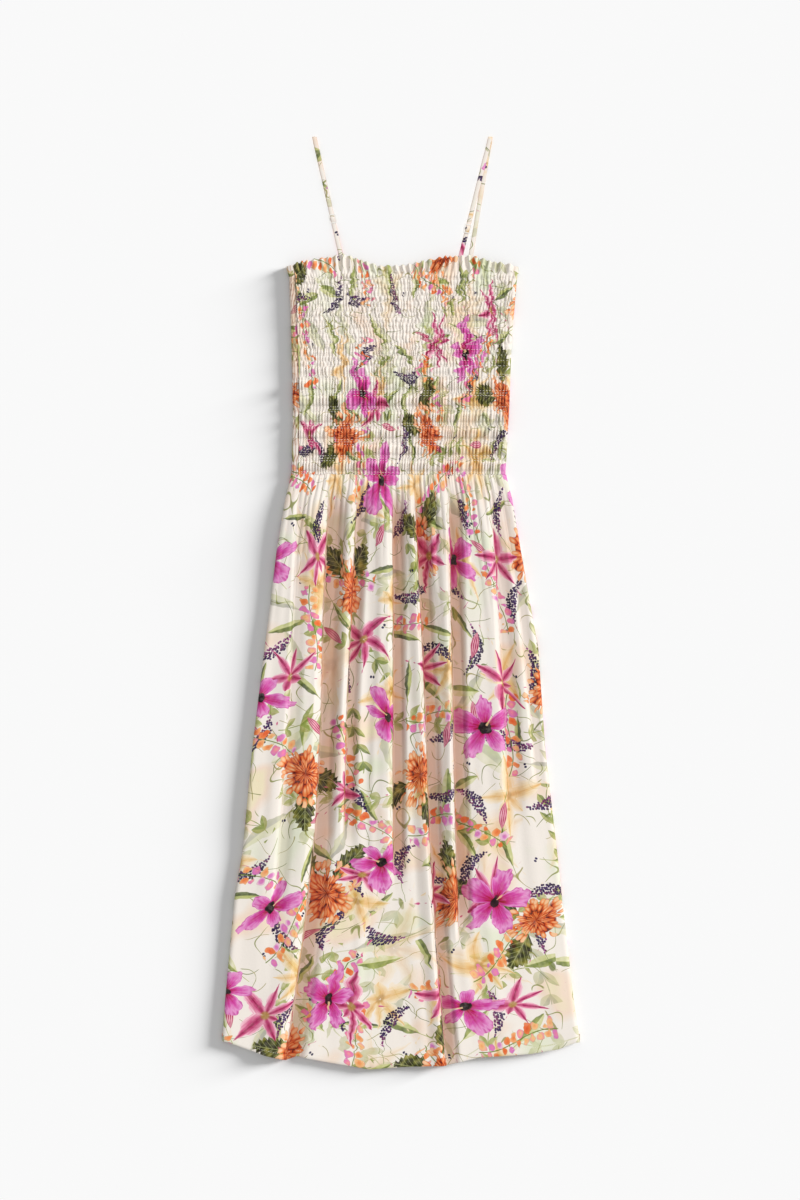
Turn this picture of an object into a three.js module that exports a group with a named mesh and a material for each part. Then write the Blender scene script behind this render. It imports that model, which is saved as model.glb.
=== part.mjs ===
// A smocked summer dress laid flat on its back: shirred bodice with a frilled top edge, gathered skirt,
// two rouleau straps with sliders. Millimetres, +X to the right, +Y up the dress, +Z out of the surface
// it lies on. The origin is on that surface, under the middle of the dress.
import * as THREE from "three";

// Driving dimensions
const LENGTH = 1216; // from the fold of the straps to the lowest point of the hem
const HEM_WIDTH = 466;
const CLOTH = 1.6; // the wall of a panel
const SEAM_GAP = 0.3;
const TOP = LENGTH / 2;
const WAIST_Y = TOP - 442; // where the skirt is gathered on to the bodice
const FIRST_ROW_Y = TOP - 188; // the top row of shirring, under the frill

// Bodice
const BACK_CLOTH = 2.0; // the shirred back, pressed flat
const BODICE_INSIDE_Z = 5.3; // the inside of the front, clear of both straps
const SHIRRED_CLOTH = 1.3; // the front's wall where it is thinnest
const PUCKERS = 66;
const PUCKER_HEIGHT = 2.9;
const SMALLEST_PUCKER = 0.45; // as a share of the largest
const PUCKER_AT_THREAD = 0.5; // a pucker is this much lower where the thread holds it
const ROW_GROUPS = 12; // each group is three rows of elastic thread
const PUFF_HEIGHT = 1.3; // how far the cloth puffs up between two groups
const SIDE_ROLL = 5; // how wide the rolled side edge of the bodice is
const LEFT_WRAP = 9; // how far the back wraps round to the front on the left
const LIP_RISE = 1; // that edge stands this much over the front's lowest face
const FRILL_WAVES = 33; // two puckers run into each
const FRILL_WAVE_HEIGHT = 3.3;

// Skirt
const GATHERS = 39;
const GATHER_HEIGHT = 3.4;
const GATHER_SHORTEST = 60;
const GATHER_LONGEST = 260;
const WAIST_Z = 7.2; // height of the front at the waist, between gathers
const WAIST_RISE = 90; // over this length the front rises from there to its full height
const SKIRT_ROLL = 9; // how wide the rounded side of the front is
const BACK_ROLL = 4;
const SEAM_Z = 3; // height of the side seams above the surface
const SKIRT_BASE_Z = 9; // height of the front where no fold lifts or sinks it
const LOWEST_Z = 3.7; // a valley's outer face, with the back just under it
const HEM_DROP_Z = 2; // the front lies lower towards the hem
const FOLD_CREST = 0.22; // the crest's distance from the edge, as a share of a fold's width
const FOLD_FADE = 70; // a fold rises and dies away over this length
const ROLL_STEPS = 3;
const ROW_CROWDING = 1.25; // over 1, the skirt front's rows of points stand closer towards the waist
const FLAT_COLUMNS = 12; // across a panel that lies flat
const BACK_INSET = 1.3; // the back's hem and frill end just short of the front's

// Straps and sliders
const STRAP_WIDTH = 6;
const STRAP_THICK = 1.2;
const BAR = 1.3; // each bar of a slider
const SLOT = 4.0;
const SLOT_PLAY = 0.4;
const SLIDER_SIDE = 1.3;
const SLIDER_THICK = 1.3;
const SLIDER_ROUND = 1.6;
const STRAP_DESCENT = 26; // over this length a strap comes down to the surface above the frill
const STRAP_TUCK = 12; // a strap lies level behind the frill for this length

// The side edges of the skirt front, a row for each level
const SKIRT_EDGES = [
  { y: WAIST_Y, left: -143, right: 137 },
  { y: 133, left: -151, right: 145 },
  { y: 68, left: -162, right: 156 },
  { y: 0, left: -170, right: 168 },
  { y: -62, left: -178, right: 179 },
  { y: -192, left: -194, right: 188 },
  { y: -322, left: -206, right: 203 },
  { y: -387, left: -217, right: 210 },
  { y: -517, left: -229, right: 225 },
  { y: -572, left: -HEM_WIDTH / 2, right: HEM_WIDTH / 2 },
];

// The side edges of the bodice, a row for every fourth group of shirring, then the top of the frill
const EDGE_GROUPS = 4;
const BODICE_EDGES = [
  { group: 0, left: -143, right: 136 },
  { group: 4, left: -141, right: 141 },
  { group: 8, left: -143, right: 144 },
  { group: ROW_GROUPS, left: -146, right: 151 },
  { group: ROW_GROUPS + 1, left: -149, right: 153 },
];

// The hem from left to right: x is a share of the width there, y is its place
const HEM_LINE = [
  { x: 0, y: -572 },
  { x: 0.11, y: -590 },
  { x: 0.17, y: -596 },
  { x: 0.2, y: -591 },
  { x: 0.28, y: -598 },
  { x: 0.41, y: -TOP },
  { x: 0.5, y: -605 },
  { x: 0.63, y: -603 },
  { x: 0.72, y: -593 },
  { x: 0.87, y: -588 },
  { x: 0.95, y: -582 },
  { x: 1, y: -573 },
];

// The top edge of the frill from left to right
const FRILL_LINE = [
  { x: -149, y: 438 },
  { x: -112, y: 446 },
  { x: -75, y: 452 },
  { x: -28, y: 437 },
  { x: 4, y: 438 },
  { x: 58, y: 449 },
  { x: 91, y: 450 },
  { x: 123, y: 442 },
  { x: 153, y: 437 },
];

// The largest folds. Each has an edge that runs down the skirt, a ridge on its left and a valley on its
// right. x0 to x5 are the edge's places at the six levels of FOLD_LEVELS, and the fold shows between the
// heights "from" and "to".
const FOLD_LEVELS = [140, 0, -150, -300, -450, -600];
const FOLDS = [
  { name: "far left", x0: -134, x1: -140, x2: -147, x3: -158, x4: -170, x5: -180,
    ridge: 26, lift: 3, valley: 14, sink: 2, from: 150, to: -420 },
  { name: "left panel", x0: -95, x1: -101, x2: -105, x3: -113, x4: -130, x5: -152,
    ridge: 46, lift: 8, valley: 26, sink: 5, from: 130, to: -640 },
  { name: "left of centre", x0: -60, x1: -66, x2: -70, x3: -72, x4: -74, x5: -76,
    ridge: 30, lift: 4, valley: 16, sink: 3, from: 140, to: -330 },
  { name: "centre", x0: -12, x1: -12, x2: -12, x3: -12, x4: -12, x5: -12,
    ridge: 44, lift: 8, valley: 22, sink: 5, from: 110, to: -380 },
  { name: "narrow ridge", x0: 15, x1: 20, x2: 30, x3: 36, x4: 45, x5: 58,
    ridge: 18, lift: 9, valley: 18, sink: 5, from: 120, to: -640 },
  { name: "second narrow ridge", x0: 60, x1: 61, x2: 62, x3: 65, x4: 73, x5: 76,
    ridge: 20, lift: 9, valley: 20, sink: 5, from: 120, to: -460 },
  { name: "right", x0: 116, x1: 125, x2: 134, x3: 140, x4: 146, x5: 150,
    ridge: 34, lift: 4, valley: 18, sink: 3, from: 130, to: -300 },
  { name: "far right", x0: 130, x1: 152, x2: 168, x3: 180, x4: 190, x5: 200,
    ridge: 22, lift: 3, valley: 12, sink: 2, from: 130, to: -260 },
];

const clamp = (v, low, high) => Math.min(high, Math.max(low, v));
const mix = (a, b, t) => a + (b - a) * t;
const soft = (t) => clamp(t, 0, 1) ** 2 * (3 - 2 * clamp(t, 0, 1));
// The same uneven value between 0 and 1 each time for one pair of whole numbers
const uneven = (i, j) => ((Math.sin(i * 12.9898 + j * 78.233) * 43758.5453) % 1 + 1) % 1;

// The value of a named column at a place on another column, straight between the rows of a table
function lookUp(table, key, at, column) {
  const rising = table[0][key] < table[table.length - 1][key];
  const rows = rising ? table : [...table].reverse();
  const next = rows.findIndex((row) => row[key] >= at);
  if (next === 0) return rows[0][column];
  if (next < 0) return rows[rows.length - 1][column];
  const a = rows[next - 1];
  const b = rows[next];
  return mix(a[column], b[column], (at - a[key]) / (b[key] - a[key]));
}

// How far along the straight line from its first to its last point each point of a run lies, from 0 to 1
function sharesAlong(run, points) {
  const at = (n) => new THREE.Vector3(...points.slice(3 * n, 3 * n + 3));
  const start = at(run[0]);
  const way = at(run[run.length - 1]).sub(start);
  return run.map((n) => at(n).sub(start).dot(way) / way.lengthSq());
}

// Faces between two runs of vertices side by side, however many each has
function zip(faces, a, b, points) {
  const alongA = sharesAlong(a, points);
  const alongB = sharesAlong(b, points);
  let i = 0;
  let j = 0;
  while (i < a.length - 1 || j < b.length - 1) {
    const lastB = j === b.length - 1;
    if (i < a.length - 1 && (lastB || alongA[i + 1] <= alongB[j + 1])) {
      faces.push(a[i + 1], a[i], b[j]);
      i += 1;
    } else {
      faces.push(b[j], b[j + 1], a[i]);
      j += 1;
    }
  }
}

// The four sides of a grid of vertex numbers, each run in the order of one loop round it
function sidesOf(grid) {
  const first = grid[0];
  const last = grid[grid.length - 1];
  return [
    first,
    grid.map((row) => row[row.length - 1]),
    [...last].reverse(),
    grid.map((row) => row[0]).reverse(),
  ];
}

// A closed wall between an upper and a lower grid of points. Rows run up the dress, columns to the right.
function wall(name, upper, lower, material) {
  const points = [];
  const number = (grid) => grid.map((row) => row.map((p) => points.push(...p) / 3 - 1));
  const top = number(upper);
  const under = number(lower);
  const faces = [];
  const cover = (grid, facingUp) => {
    for (let r = 0; r < grid.length - 1; r += 1) {
      for (let c = 0; c < grid[r].length - 1; c += 1) {
        const [p, q, s, t] = [grid[r][c], grid[r][c + 1], grid[r + 1][c + 1], grid[r + 1][c]];
        if (facingUp) faces.push(p, q, s, p, s, t);
        else faces.push(p, s, q, p, t, s);
      }
    }
  };
  cover(top, true);
  cover(under, false);
  const underSides = sidesOf(under);
  sidesOf(top).forEach((side, k) => zip(faces, side, underSides[k], points));
  const geometry = new THREE.BufferGeometry();
  geometry.setAttribute("position", new THREE.Float32BufferAttribute(points, 3));
  geometry.setIndex(faces);
  geometry.computeVertexNormals();
  const mesh = new THREE.Mesh(geometry, material);
  mesh.name = name;
  return mesh;
}

const steps = (count, at) => Array.from({ length: count + 1 }, (_, i) => at(i / count));

// Columns across a panel: each has its distance from the left edge as a share of the flat middle (0 to 1),
// and the turn of the rolled edge there, 0 at the seam and a quarter turn where the middle starts
function columns(middle, rollLeft, rollRight) {
  const quarter = Math.PI / 2;
  const roll = (side, u) => steps(ROLL_STEPS, (t) => ({ side, turn: t * quarter, u })).slice(0, -1);
  const left = rollLeft ? roll(-1, 0) : [];
  const right = rollRight ? roll(1, 1).reverse() : [];
  return [...left, ...steps(middle, (u) => ({ side: 0, turn: quarter, u })), ...right];
}

// The x of a column between two edges with rolls of a given width
function columnX(column, left, right, rollLeft, rollRight) {
  if (column.side < 0) return left + rollLeft * (1 - Math.cos(column.turn));
  if (column.side > 0) return right - rollRight * (1 - Math.cos(column.turn));
  return mix(left + rollLeft, right - rollRight, column.u);
}

// How far a column's point moves sideways into the panel for one unit of thickness
const inward = (column) => -column.side * Math.cos(column.turn);

// Skirt

const foldX = (fold, y) => {
  const table = FOLD_LEVELS.map((level, k) => ({ y: level, x: fold["x" + k] }));
  return lookUp(table, "y", y, "x");
};

// The height that one fold adds at x, y: a soft ridge that ends in a steep edge, then a valley
function foldHeight(fold, x, y) {
  const shown = soft((fold.from + FOLD_FADE - y) / FOLD_FADE) * soft((y - fold.to) / FOLD_FADE);
  if (shown === 0) return 0;
  const d = x - foldX(fold, y);
  if (d <= -fold.ridge || d >= fold.valley) return 0;
  const q = d < 0 ? -d / fold.ridge : d / fold.valley;
  const profile = q < FOLD_CREST ? soft(q / FOLD_CREST) : soft((1 - q) / (1 - FOLD_CREST));
  return shown * (d < 0 ? fold.lift : -fold.sink) * profile;
}

// A gather is a short ridge under the waist seam. Some die away soon, others run on into the skirt.
function gatherHeight(column, columnNumber, y) {
  if (columnNumber % 2 === 0 || column.side !== 0) return 0;
  const length = mix(GATHER_SHORTEST, GATHER_LONGEST, uneven(columnNumber, 1));
  const fade = 1 - soft((WAIST_Y - y) / length);
  return GATHER_HEIGHT * (0.7 + 0.5 * uneven(columnNumber, 2)) * fade;
}

function skirtHeight(x, y) {
  const towardsHem = (WAIST_Y - y) / (WAIST_Y + TOP);
  const belowWaist = soft((WAIST_Y - y) / WAIST_RISE);
  const folds = FOLDS.reduce((sum, fold) => sum + foldHeight(fold, x, y), 0);
  return mix(WAIST_Z, SKIRT_BASE_Z - HEM_DROP_Z * towardsHem, belowWaist) + folds;
}

function skirtEdge(y, side) {
  return lookUp(SKIRT_EDGES, "y", y, side);
}

function skirtFront(material) {
  const rows = 13;
  const across = columns(2 * GATHERS, true, true);
  const waist = WAIST_Y - SEAM_GAP / 2;
  const pointsAt = (v, thick) =>
    across.map((column, number) => {
      const share = clamp(column.u, 0, 1);
      const hem = lookUp(HEM_LINE, "x", share, "y");
      const y = mix(hem, waist, v);
      const x = columnX(column, skirtEdge(y, "left"), skirtEdge(y, "right"), SKIRT_ROLL, SKIRT_ROLL);
      const full = Math.max(LOWEST_Z, skirtHeight(x, y) + gatherHeight(column, number - ROLL_STEPS, y));
      const seam = SEAM_Z + SEAM_GAP;
      const z = seam + (full - seam) * Math.sin(column.turn);
      return [x + thick * inward(column), y, z - thick * Math.sin(column.turn)];
    });
  const upward = (t) => 1 - (1 - t) ** ROW_CROWDING;
  const upper = steps(rows, (t) => pointsAt(upward(t), 0));
  const lower = steps(rows, (t) => pointsAt(upward(t), CLOTH));
  return wall("skirt_front", upper, lower, material);
}

function skirtBack(material) {
  const across = columns(FLAT_COLUMNS, true, true);
  const waist = WAIST_Y - SEAM_GAP / 2;
  const pointsAt = (v, thick) =>
    across.map((column) => {
      const y = mix(lookUp(HEM_LINE, "x", column.u, "y") + BACK_INSET, waist, v);
      const x = columnX(column, skirtEdge(y, "left"), skirtEdge(y, "right"), BACK_ROLL, BACK_ROLL);
      const z = SEAM_Z * (1 - Math.sin(column.turn));
      return [x + thick * inward(column), y, z + thick * Math.sin(column.turn)];
    });
  const rows = 8;
  return wall(
    "skirt_back",
    steps(rows, (v) => pointsAt(v, CLOTH)),
    steps(rows, (v) => pointsAt(v, 0)),
    material,
  );
}

// Bodice

const bodiceEdge = (level, side) => lookUp(BODICE_EDGES, "group", level.at, side);
const frillTop = (x) => lookUp(FRILL_LINE, "x", x, "y");
const groupPitch = (FIRST_ROW_Y - WAIST_Y) / ROW_GROUPS;

// The levels of the bodice, a row of points each: at every group of shirring and midway between groups,
// then three up the frill. "at" counts the groups from the waist, "puff" is 0 on a group and 1 midway, and
// "frill" is the share of the frill's height.
function bodiceLevels() {
  const shirred = steps(2 * ROW_GROUPS, (t) => ({
    y: mix(WAIST_Y + SEAM_GAP / 2, FIRST_ROW_Y, t),
    at: t * ROW_GROUPS,
    frill: 0,
  }));
  shirred.forEach((level, k) => Object.assign(level, { puff: k % 2, group: Math.floor(k / 2) }));
  const frill = [0.5, 1].map((share) => ({
    y: FIRST_ROW_Y,
    at: ROW_GROUPS + share,
    frill: share,
    puff: 0,
    group: 0,
  }));
  return [...shirred, ...frill];
}

function frillY(level, x) {
  return mix(level.y, frillTop(x), level.frill);
}

// The frill's wave at a column. It grows from nothing at the shirring and never dips under the inside.
const frillHeight = (u, level) =>
  FRILL_WAVE_HEIGHT * soft(level.frill) * (1 + Math.sin(u * FRILL_WAVES * 2 * Math.PI));

function bodiceFront(material) {
  const seam = SEAM_Z + SEAM_GAP;
  const baseZ = BODICE_INSIDE_Z + SHIRRED_CLOTH;
  const place = (column, level) => {
    const left = bodiceEdge(level, "left") + LEFT_WRAP + SEAM_GAP;
    const x = columnX(column, left, bodiceEdge(level, "right"), 0, SIDE_ROLL);
    return { x, y: frillY(level, x) };
  };
  const outer = (column, number, level) => {
    const { x, y } = place(column, level);
    const isPucker = number % 2 === 1 && column.side === 0 && level.frill === 0;
    const size = mix(SMALLEST_PUCKER, 1, uneven(number, level.group));
    const shape = isPucker ? size * mix(PUCKER_AT_THREAD, 1, level.puff) : 0;
    const puff = PUFF_HEIGHT * level.puff;
    const full = baseZ + PUCKER_HEIGHT * shape + puff + frillHeight(column.u, level);
    return [x, y, seam + (full - seam) * Math.sin(column.turn)];
  };
  const inner = (column, level) => {
    const { x, y } = place(column, level);
    const full = BODICE_INSIDE_Z + frillHeight(column.u, level);
    const z = seam + (full - seam) * Math.sin(column.turn);
    return [x + SHIRRED_CLOTH * inward(column), y, z];
  };
  const levels = bodiceLevels();
  const fine = columns(2 * PUCKERS, false, true);
  const plain = columns(2 * FRILL_WAVES, false, true);
  const plainLevels = levels.filter((level, k) => level.frill > 0 || k % (2 * EDGE_GROUPS) === 0);
  return wall(
    "bodice_front",
    levels.map((level) => fine.map((column, number) => outer(column, number, level))),
    plainLevels.map((level) => plain.map((column) => inner(column, level))),
    material,
  );
}

// The back lies flat. Its left edge rolls up and over, and ends at the seam on the front's side.
function bodiceBack(material) {
  const lipZ = BODICE_INSIDE_Z + SHIRRED_CLOTH + LIP_RISE;
  const levels = bodiceLevels().filter((level, k) => level.frill > 0 || k % (2 * EDGE_GROUPS) === 0);
  const halfTurn = Math.PI;
  // The rolled left edge as turns from the top round to the underside, after the lip's own end
  const roll = steps(2 * ROLL_STEPS, (t) => ({ kind: "roll", turn: halfTurn * (1 - t) }));
  const middle = columns(FLAT_COLUMNS, false, true).slice(1);
  const across = [{ kind: "lip" }, ...roll, ...middle.map((column) => ({ kind: "flat", column }))];
  const point = (at, level, thick) => {
    const left = bodiceEdge(level, "left");
    const right = bodiceEdge(level, "right");
    if (at.kind === "lip") {
      const x = left + LEFT_WRAP;
      return [x, frillY(level, x + SEAM_GAP), lipZ - thick];
    }
    if (at.kind === "roll") {
      const cos = Math.cos(at.turn);
      const sin = Math.sin(at.turn);
      const radius = lipZ / 2;
      const x = left + SIDE_ROLL * (1 - sin) + thick * sin;
      return [x, frillY(level, x), radius - (radius - thick) * cos];
    }
    const x = columnX(at.column, left + SIDE_ROLL, right, 0, BACK_ROLL);
    const z = SEAM_Z * (1 - Math.sin(at.column.turn)) + thick * Math.sin(at.column.turn);
    return [x + thick * inward(at.column), frillY(level, x) - BACK_INSET * level.frill, z];
  };
  return wall(
    "bodice_back",
    levels.map((level) => across.map((at) => point(at, level, BACK_CLOTH))),
    levels.map((level) => across.map((at) => point(at, level, 0))),
    material,
  );
}

// Straps

// Where each strap is sewn to the front and the back, where it folds, and where its slider sits
const STRAPS = [
  { name: "left", foldX: -113, frontX: -71.4, backX: -71.4, sliderY: 499 },
  { name: "right", foldX: 116.5, frontX: 70.3, backX: 85.9, sliderY: 486 },
];
const SEWN_Y = FIRST_ROW_Y + 1;
const FRILL_CLEAR_Y = 456; // above this the straps are clear of the frill
const FRONT_SEWN_Z = BODICE_INSIDE_Z - SEAM_GAP - STRAP_THICK / 2;
const BACK_SEWN_Z = BACK_CLOTH + SEAM_GAP + STRAP_THICK / 2;
const BACK_STRAND_Z = STRAP_THICK / 2;
const FRONT_STRAND_Z = STRAP_THICK * 1.5 + SEAM_GAP;
const SLIDER_Z = FRONT_STRAND_Z + STRAP_THICK / 2 + SEAM_GAP;
const OVER_BAR_Z = SLIDER_Z + SLIDER_THICK + SEAM_GAP + STRAP_THICK / 2;

// The strap's middle line from the front, over the slider's bar, round the fold and down the back
function strapLine(strap) {
  const radius = (FRONT_STRAND_Z - BACK_STRAND_Z) / 2;
  const corner = ((STRAP_WIDTH / 2) * Math.abs(strap.foldX - strap.frontX)) / (TOP - SEWN_Y);
  const foldY = TOP - STRAP_THICK / 2 - radius - corner;
  const frontX = (y) => mix(strap.frontX, strap.foldX, (y - SEWN_Y) / (foldY - SEWN_Y));
  const backX = (y) => mix(strap.backX, strap.foldX, (y - SEWN_Y) / (foldY - SEWN_Y));
  const s = strap.sliderY;
  const climb = BAR / 2 + SLOT - STRAP_THICK / 2;
  const front = [
    { y: SEWN_Y, z: FRONT_SEWN_Z },
    { y: FRILL_CLEAR_Y - STRAP_TUCK, z: FRONT_SEWN_Z },
    { y: FRILL_CLEAR_Y, z: FRONT_SEWN_Z },
    { y: mix(FRILL_CLEAR_Y, s - climb, 0.5), z: mix(FRONT_SEWN_Z, FRONT_STRAND_Z, 0.6) },
    { y: s - climb - BAR, z: FRONT_STRAND_Z },
    { y: s - climb, z: FRONT_STRAND_Z },
    { y: s - BAR, z: OVER_BAR_Z },
    { y: s + BAR, z: OVER_BAR_Z },
    { y: s + climb, z: FRONT_STRAND_Z },
    { y: s + climb + BAR, z: FRONT_STRAND_Z },
    { y: mix(s, foldY, 0.5), z: FRONT_STRAND_Z },
    { y: foldY, z: FRONT_STRAND_Z },
  ].map(({ y, z }) => ({ x: frontX(y), y, z }));
  const fold = steps(6, (t) => t * Math.PI)
    .slice(1, -1)
    .map((turn) => ({
      x: strap.foldX,
      y: foldY + radius * Math.sin(turn),
      z: BACK_STRAND_Z + radius + radius * Math.cos(turn),
    }));
  const back = [
    { y: foldY, z: BACK_STRAND_Z },
    { y: mix(foldY, FRILL_CLEAR_Y, 0.5), z: BACK_STRAND_Z },
    { y: FRILL_CLEAR_Y + STRAP_DESCENT, z: BACK_STRAND_Z },
    { y: FRILL_CLEAR_Y, z: BACK_SEWN_Z },
    { y: FRILL_CLEAR_Y - STRAP_TUCK, z: BACK_SEWN_Z },
    { y: SEWN_Y, z: BACK_SEWN_Z },
  ].map(({ y, z }) => ({ x: backX(y), y, z }));
  return { front: [...front, ...fold], back };
}

// A flat band along a middle line, bent only in the line's own upright plane
function strapMesh(strap, material) {
  const { front, back } = strapLine(strap);
  const line = [...front, ...back].map(({ x, y, z }) => new THREE.Vector3(x, y, z));
  const lean = (xEnd) => new THREE.Vector3(strap.foldX - xEnd, TOP - SEWN_Y, 0).normalize();
  const frontWay = lean(strap.frontX);
  const backWay = lean(strap.backX);
  const sections = line.map((p, i) => {
    const before = line[Math.max(0, i - 1)];
    const after = line[Math.min(line.length - 1, i + 1)];
    const tangent = after.clone().sub(before).normalize();
    const way = i < front.length ? frontWay : backWay;
    const side = new THREE.Vector3(way.y, -way.x, 0);
    const normal = side.clone().cross(tangent).normalize();
    const corner = (a, b) =>
      p.clone().addScaledVector(side, (a * STRAP_WIDTH) / 2).addScaledVector(normal, (b * STRAP_THICK) / 2);
    return [corner(-1, 1), corner(1, 1), corner(1, -1), corner(-1, -1)];
  });
  const points = sections.flat().flatMap((p) => p.toArray());
  const faces = [];
  for (let i = 0; i < sections.length - 1; i += 1) {
    for (let k = 0; k < 4; k += 1) {
      const a = 4 * i + k;
      const b = 4 * i + ((k + 1) % 4);
      faces.push(a, b, b + 4, a, b + 4, a + 4);
    }
  }
  const end = 4 * (sections.length - 1);
  faces.push(0, 2, 1, 0, 3, 2, end, end + 1, end + 2, end, end + 2, end + 3);
  const geometry = new THREE.BufferGeometry();
  geometry.setAttribute("position", new THREE.Float32BufferAttribute(points, 3));
  geometry.setIndex(faces);
  geometry.computeVertexNormals();
  const mesh = new THREE.Mesh(geometry, material);
  mesh.name = "strap_" + strap.name;
  return mesh;
}

// A slider is a small plate with two slots. The strap comes up through one, over the bar and down again.
function sliderMesh(strap, material) {
  const halfWidth = STRAP_WIDTH / 2 + SLOT_PLAY;
  const halfLength = BAR / 2 + SLOT + BAR;
  const outline = roundedBox(halfWidth + SLIDER_SIDE, -halfLength, halfLength, SLIDER_ROUND);
  outline.holes.push(roundedBox(halfWidth, BAR / 2, BAR / 2 + SLOT, SLOT_PLAY));
  outline.holes.push(roundedBox(halfWidth, -BAR / 2 - SLOT, -BAR / 2, SLOT_PLAY));
  const geometry = new THREE.ExtrudeGeometry(outline, {
    depth: SLIDER_THICK,
    bevelEnabled: false,
    curveSegments: 2,
  });
  const mesh = new THREE.Mesh(geometry, material);
  const share = (strap.sliderY - SEWN_Y) / (TOP - SEWN_Y);
  mesh.position.set(mix(strap.frontX, strap.foldX, share), strap.sliderY, SLIDER_Z);
  mesh.rotation.z = -Math.atan2(strap.foldX - strap.frontX, TOP - SEWN_Y);
  mesh.name = "slider_" + strap.name;
  return mesh;
}

function roundedBox(halfWidth, low, high, radius) {
  const shape = new THREE.Shape();
  shape.moveTo(-halfWidth + radius, low);
  shape.lineTo(halfWidth - radius, low);
  shape.absarc(halfWidth - radius, low + radius, radius, -Math.PI / 2, 0);
  shape.absarc(halfWidth - radius, high - radius, radius, 0, Math.PI / 2);
  shape.absarc(-halfWidth + radius, high - radius, radius, Math.PI / 2, Math.PI);
  shape.absarc(-halfWidth + radius, low + radius, radius, Math.PI, 1.5 * Math.PI);
  return shape;
}

// The dress
const cloth = new THREE.MeshStandardMaterial({ color: 0xefe6d2, roughness: 0.8, metalness: 0 });
const backCloth = cloth.clone();
const strapCloth = cloth.clone();
const nylon = new THREE.MeshStandardMaterial({ color: 0xf1efe9, roughness: 0.35, metalness: 0 });

const dress = new THREE.Group();
dress.add(bodiceFront(cloth), bodiceBack(backCloth), skirtFront(cloth), skirtBack(backCloth));
for (const strap of STRAPS) dress.add(strapMesh(strap, strapCloth), sliderMesh(strap, nylon));

export default dress;
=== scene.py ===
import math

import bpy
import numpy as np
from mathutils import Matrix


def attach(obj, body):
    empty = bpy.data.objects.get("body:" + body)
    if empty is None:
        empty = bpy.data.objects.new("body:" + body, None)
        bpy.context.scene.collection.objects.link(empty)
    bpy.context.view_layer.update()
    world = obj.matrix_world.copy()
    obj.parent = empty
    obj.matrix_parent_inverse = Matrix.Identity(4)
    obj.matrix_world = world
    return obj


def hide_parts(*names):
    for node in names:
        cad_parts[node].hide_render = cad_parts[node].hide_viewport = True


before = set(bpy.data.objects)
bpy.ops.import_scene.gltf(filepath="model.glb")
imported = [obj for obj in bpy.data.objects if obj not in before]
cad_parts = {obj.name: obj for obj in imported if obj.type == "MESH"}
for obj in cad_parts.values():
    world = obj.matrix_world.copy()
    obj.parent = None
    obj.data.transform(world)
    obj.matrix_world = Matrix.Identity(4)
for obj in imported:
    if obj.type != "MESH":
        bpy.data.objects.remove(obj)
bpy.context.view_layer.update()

# %% [markdown]
# # A smocked summer dress, laid flat
#
# The dress lies on its back, seen from straight above. Its bodice is one panel in front and one behind, cut
# about twice as wide as they end up and drawn in by rows of elastic thread. The skirt hangs from it in soft
# folds. Everything below is in millimetres, +X to the right, +Y up the dress and +Z out of the surface, and
# becomes metres when a mesh is made.

MM = 0.001


def soft(t):
    """0 below 0, 1 above 1 and smooth between."""
    t = np.clip(t, 0, 1)
    return t * t * (3 - 2 * t)


def mix(a, b, t):
    return a + (b - a) * t


def uneven(i, j):
    """The same uneven value from 0 to 1 each time for one pair of whole numbers."""
    return np.mod(np.sin(i * 12.9898 + j * 78.233) * 43758.5453, 1.0)


def drift(x, y):
    """Smooth uneven values from -1 to 1 that change over a distance of about 1 in x and y."""
    x, y = np.broadcast_arrays(np.asarray(x, float), np.asarray(y, float))
    i, j = np.floor(x), np.floor(y)
    a, b = soft(x - i), soft(y - j)
    low = mix(uneven(i, j), uneven(i + 1, j), a)
    high = mix(uneven(i, j + 1), uneven(i + 1, j + 1), a)
    return 2 * mix(low, high, b) - 1


def placed(name, data):
    """An object with this data, in the scene."""
    piece = bpy.data.objects.new(name, data)
    bpy.context.scene.collection.objects.link(piece)
    return piece


def from_table(table, at, column=1):
    """The value of a column at a place on the first column, straight between rows."""
    rows = np.array(table, float)
    return np.interp(at, rows[:, 0], rows[:, column])


# %% [markdown]
# ## The outline
#
# These tables are the measured outline of the dress as it lies: where the sides of the skirt and bodice
# are at some heights, and how the hem and the top of the frill run from left to right. The solids of the
# frame use the same tables, so the cloth made here lies where they do.

# %% Outline of the skirt and bodice
TOP = 608.0
WAIST_Y = 166.0
FIRST_ROW_Y = 420.0
SKIRT_EDGES = (
    (-572, -233, 233), (-517, -229, 225), (-387, -217, 210), (-322, -206, 203), (-192, -194, 188),
    (-62, -178, 179), (0, -170, 168), (68, -162, 156), (133, -151, 145), (WAIST_Y, -143, 137),
)
BODICE_EDGES = ((166, -143, 136), (251, -141, 141), (335, -143, 144), (420, -146, 151), (445, -149, 153))
HEM_LINE = (
    (0, -572), (0.11, -590), (0.17, -596), (0.2, -591), (0.28, -598), (0.41, -608),
    (0.5, -605), (0.63, -603), (0.72, -593), (0.87, -588), (0.95, -582), (1, -573),
)
FRILL_LINE = (
    (-149, 438), (-112, 446), (-75, 452), (-28, 437), (4, 438), (58, 449), (91, 450), (123, 442), (153, 437),
)
SEAM_Z = 3.0
QUARTER = math.pi / 2


def columns(middle, roll, left=True):
    """Side, turn and share of the width for each column: rolled edges first turn up from the seam."""
    turns = np.linspace(0, QUARTER, roll, endpoint=False)
    flat = np.linspace(0, 1, middle + 1)
    rolled_left = [(0 * turns - 1, turns, 0 * turns)] if left else []
    rolled_right = (0 * turns + 1, turns[::-1], 0 * turns + 1)
    return np.concatenate([*rolled_left, (0 * flat, 0 * flat + QUARTER, flat), rolled_right], axis=1)


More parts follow.
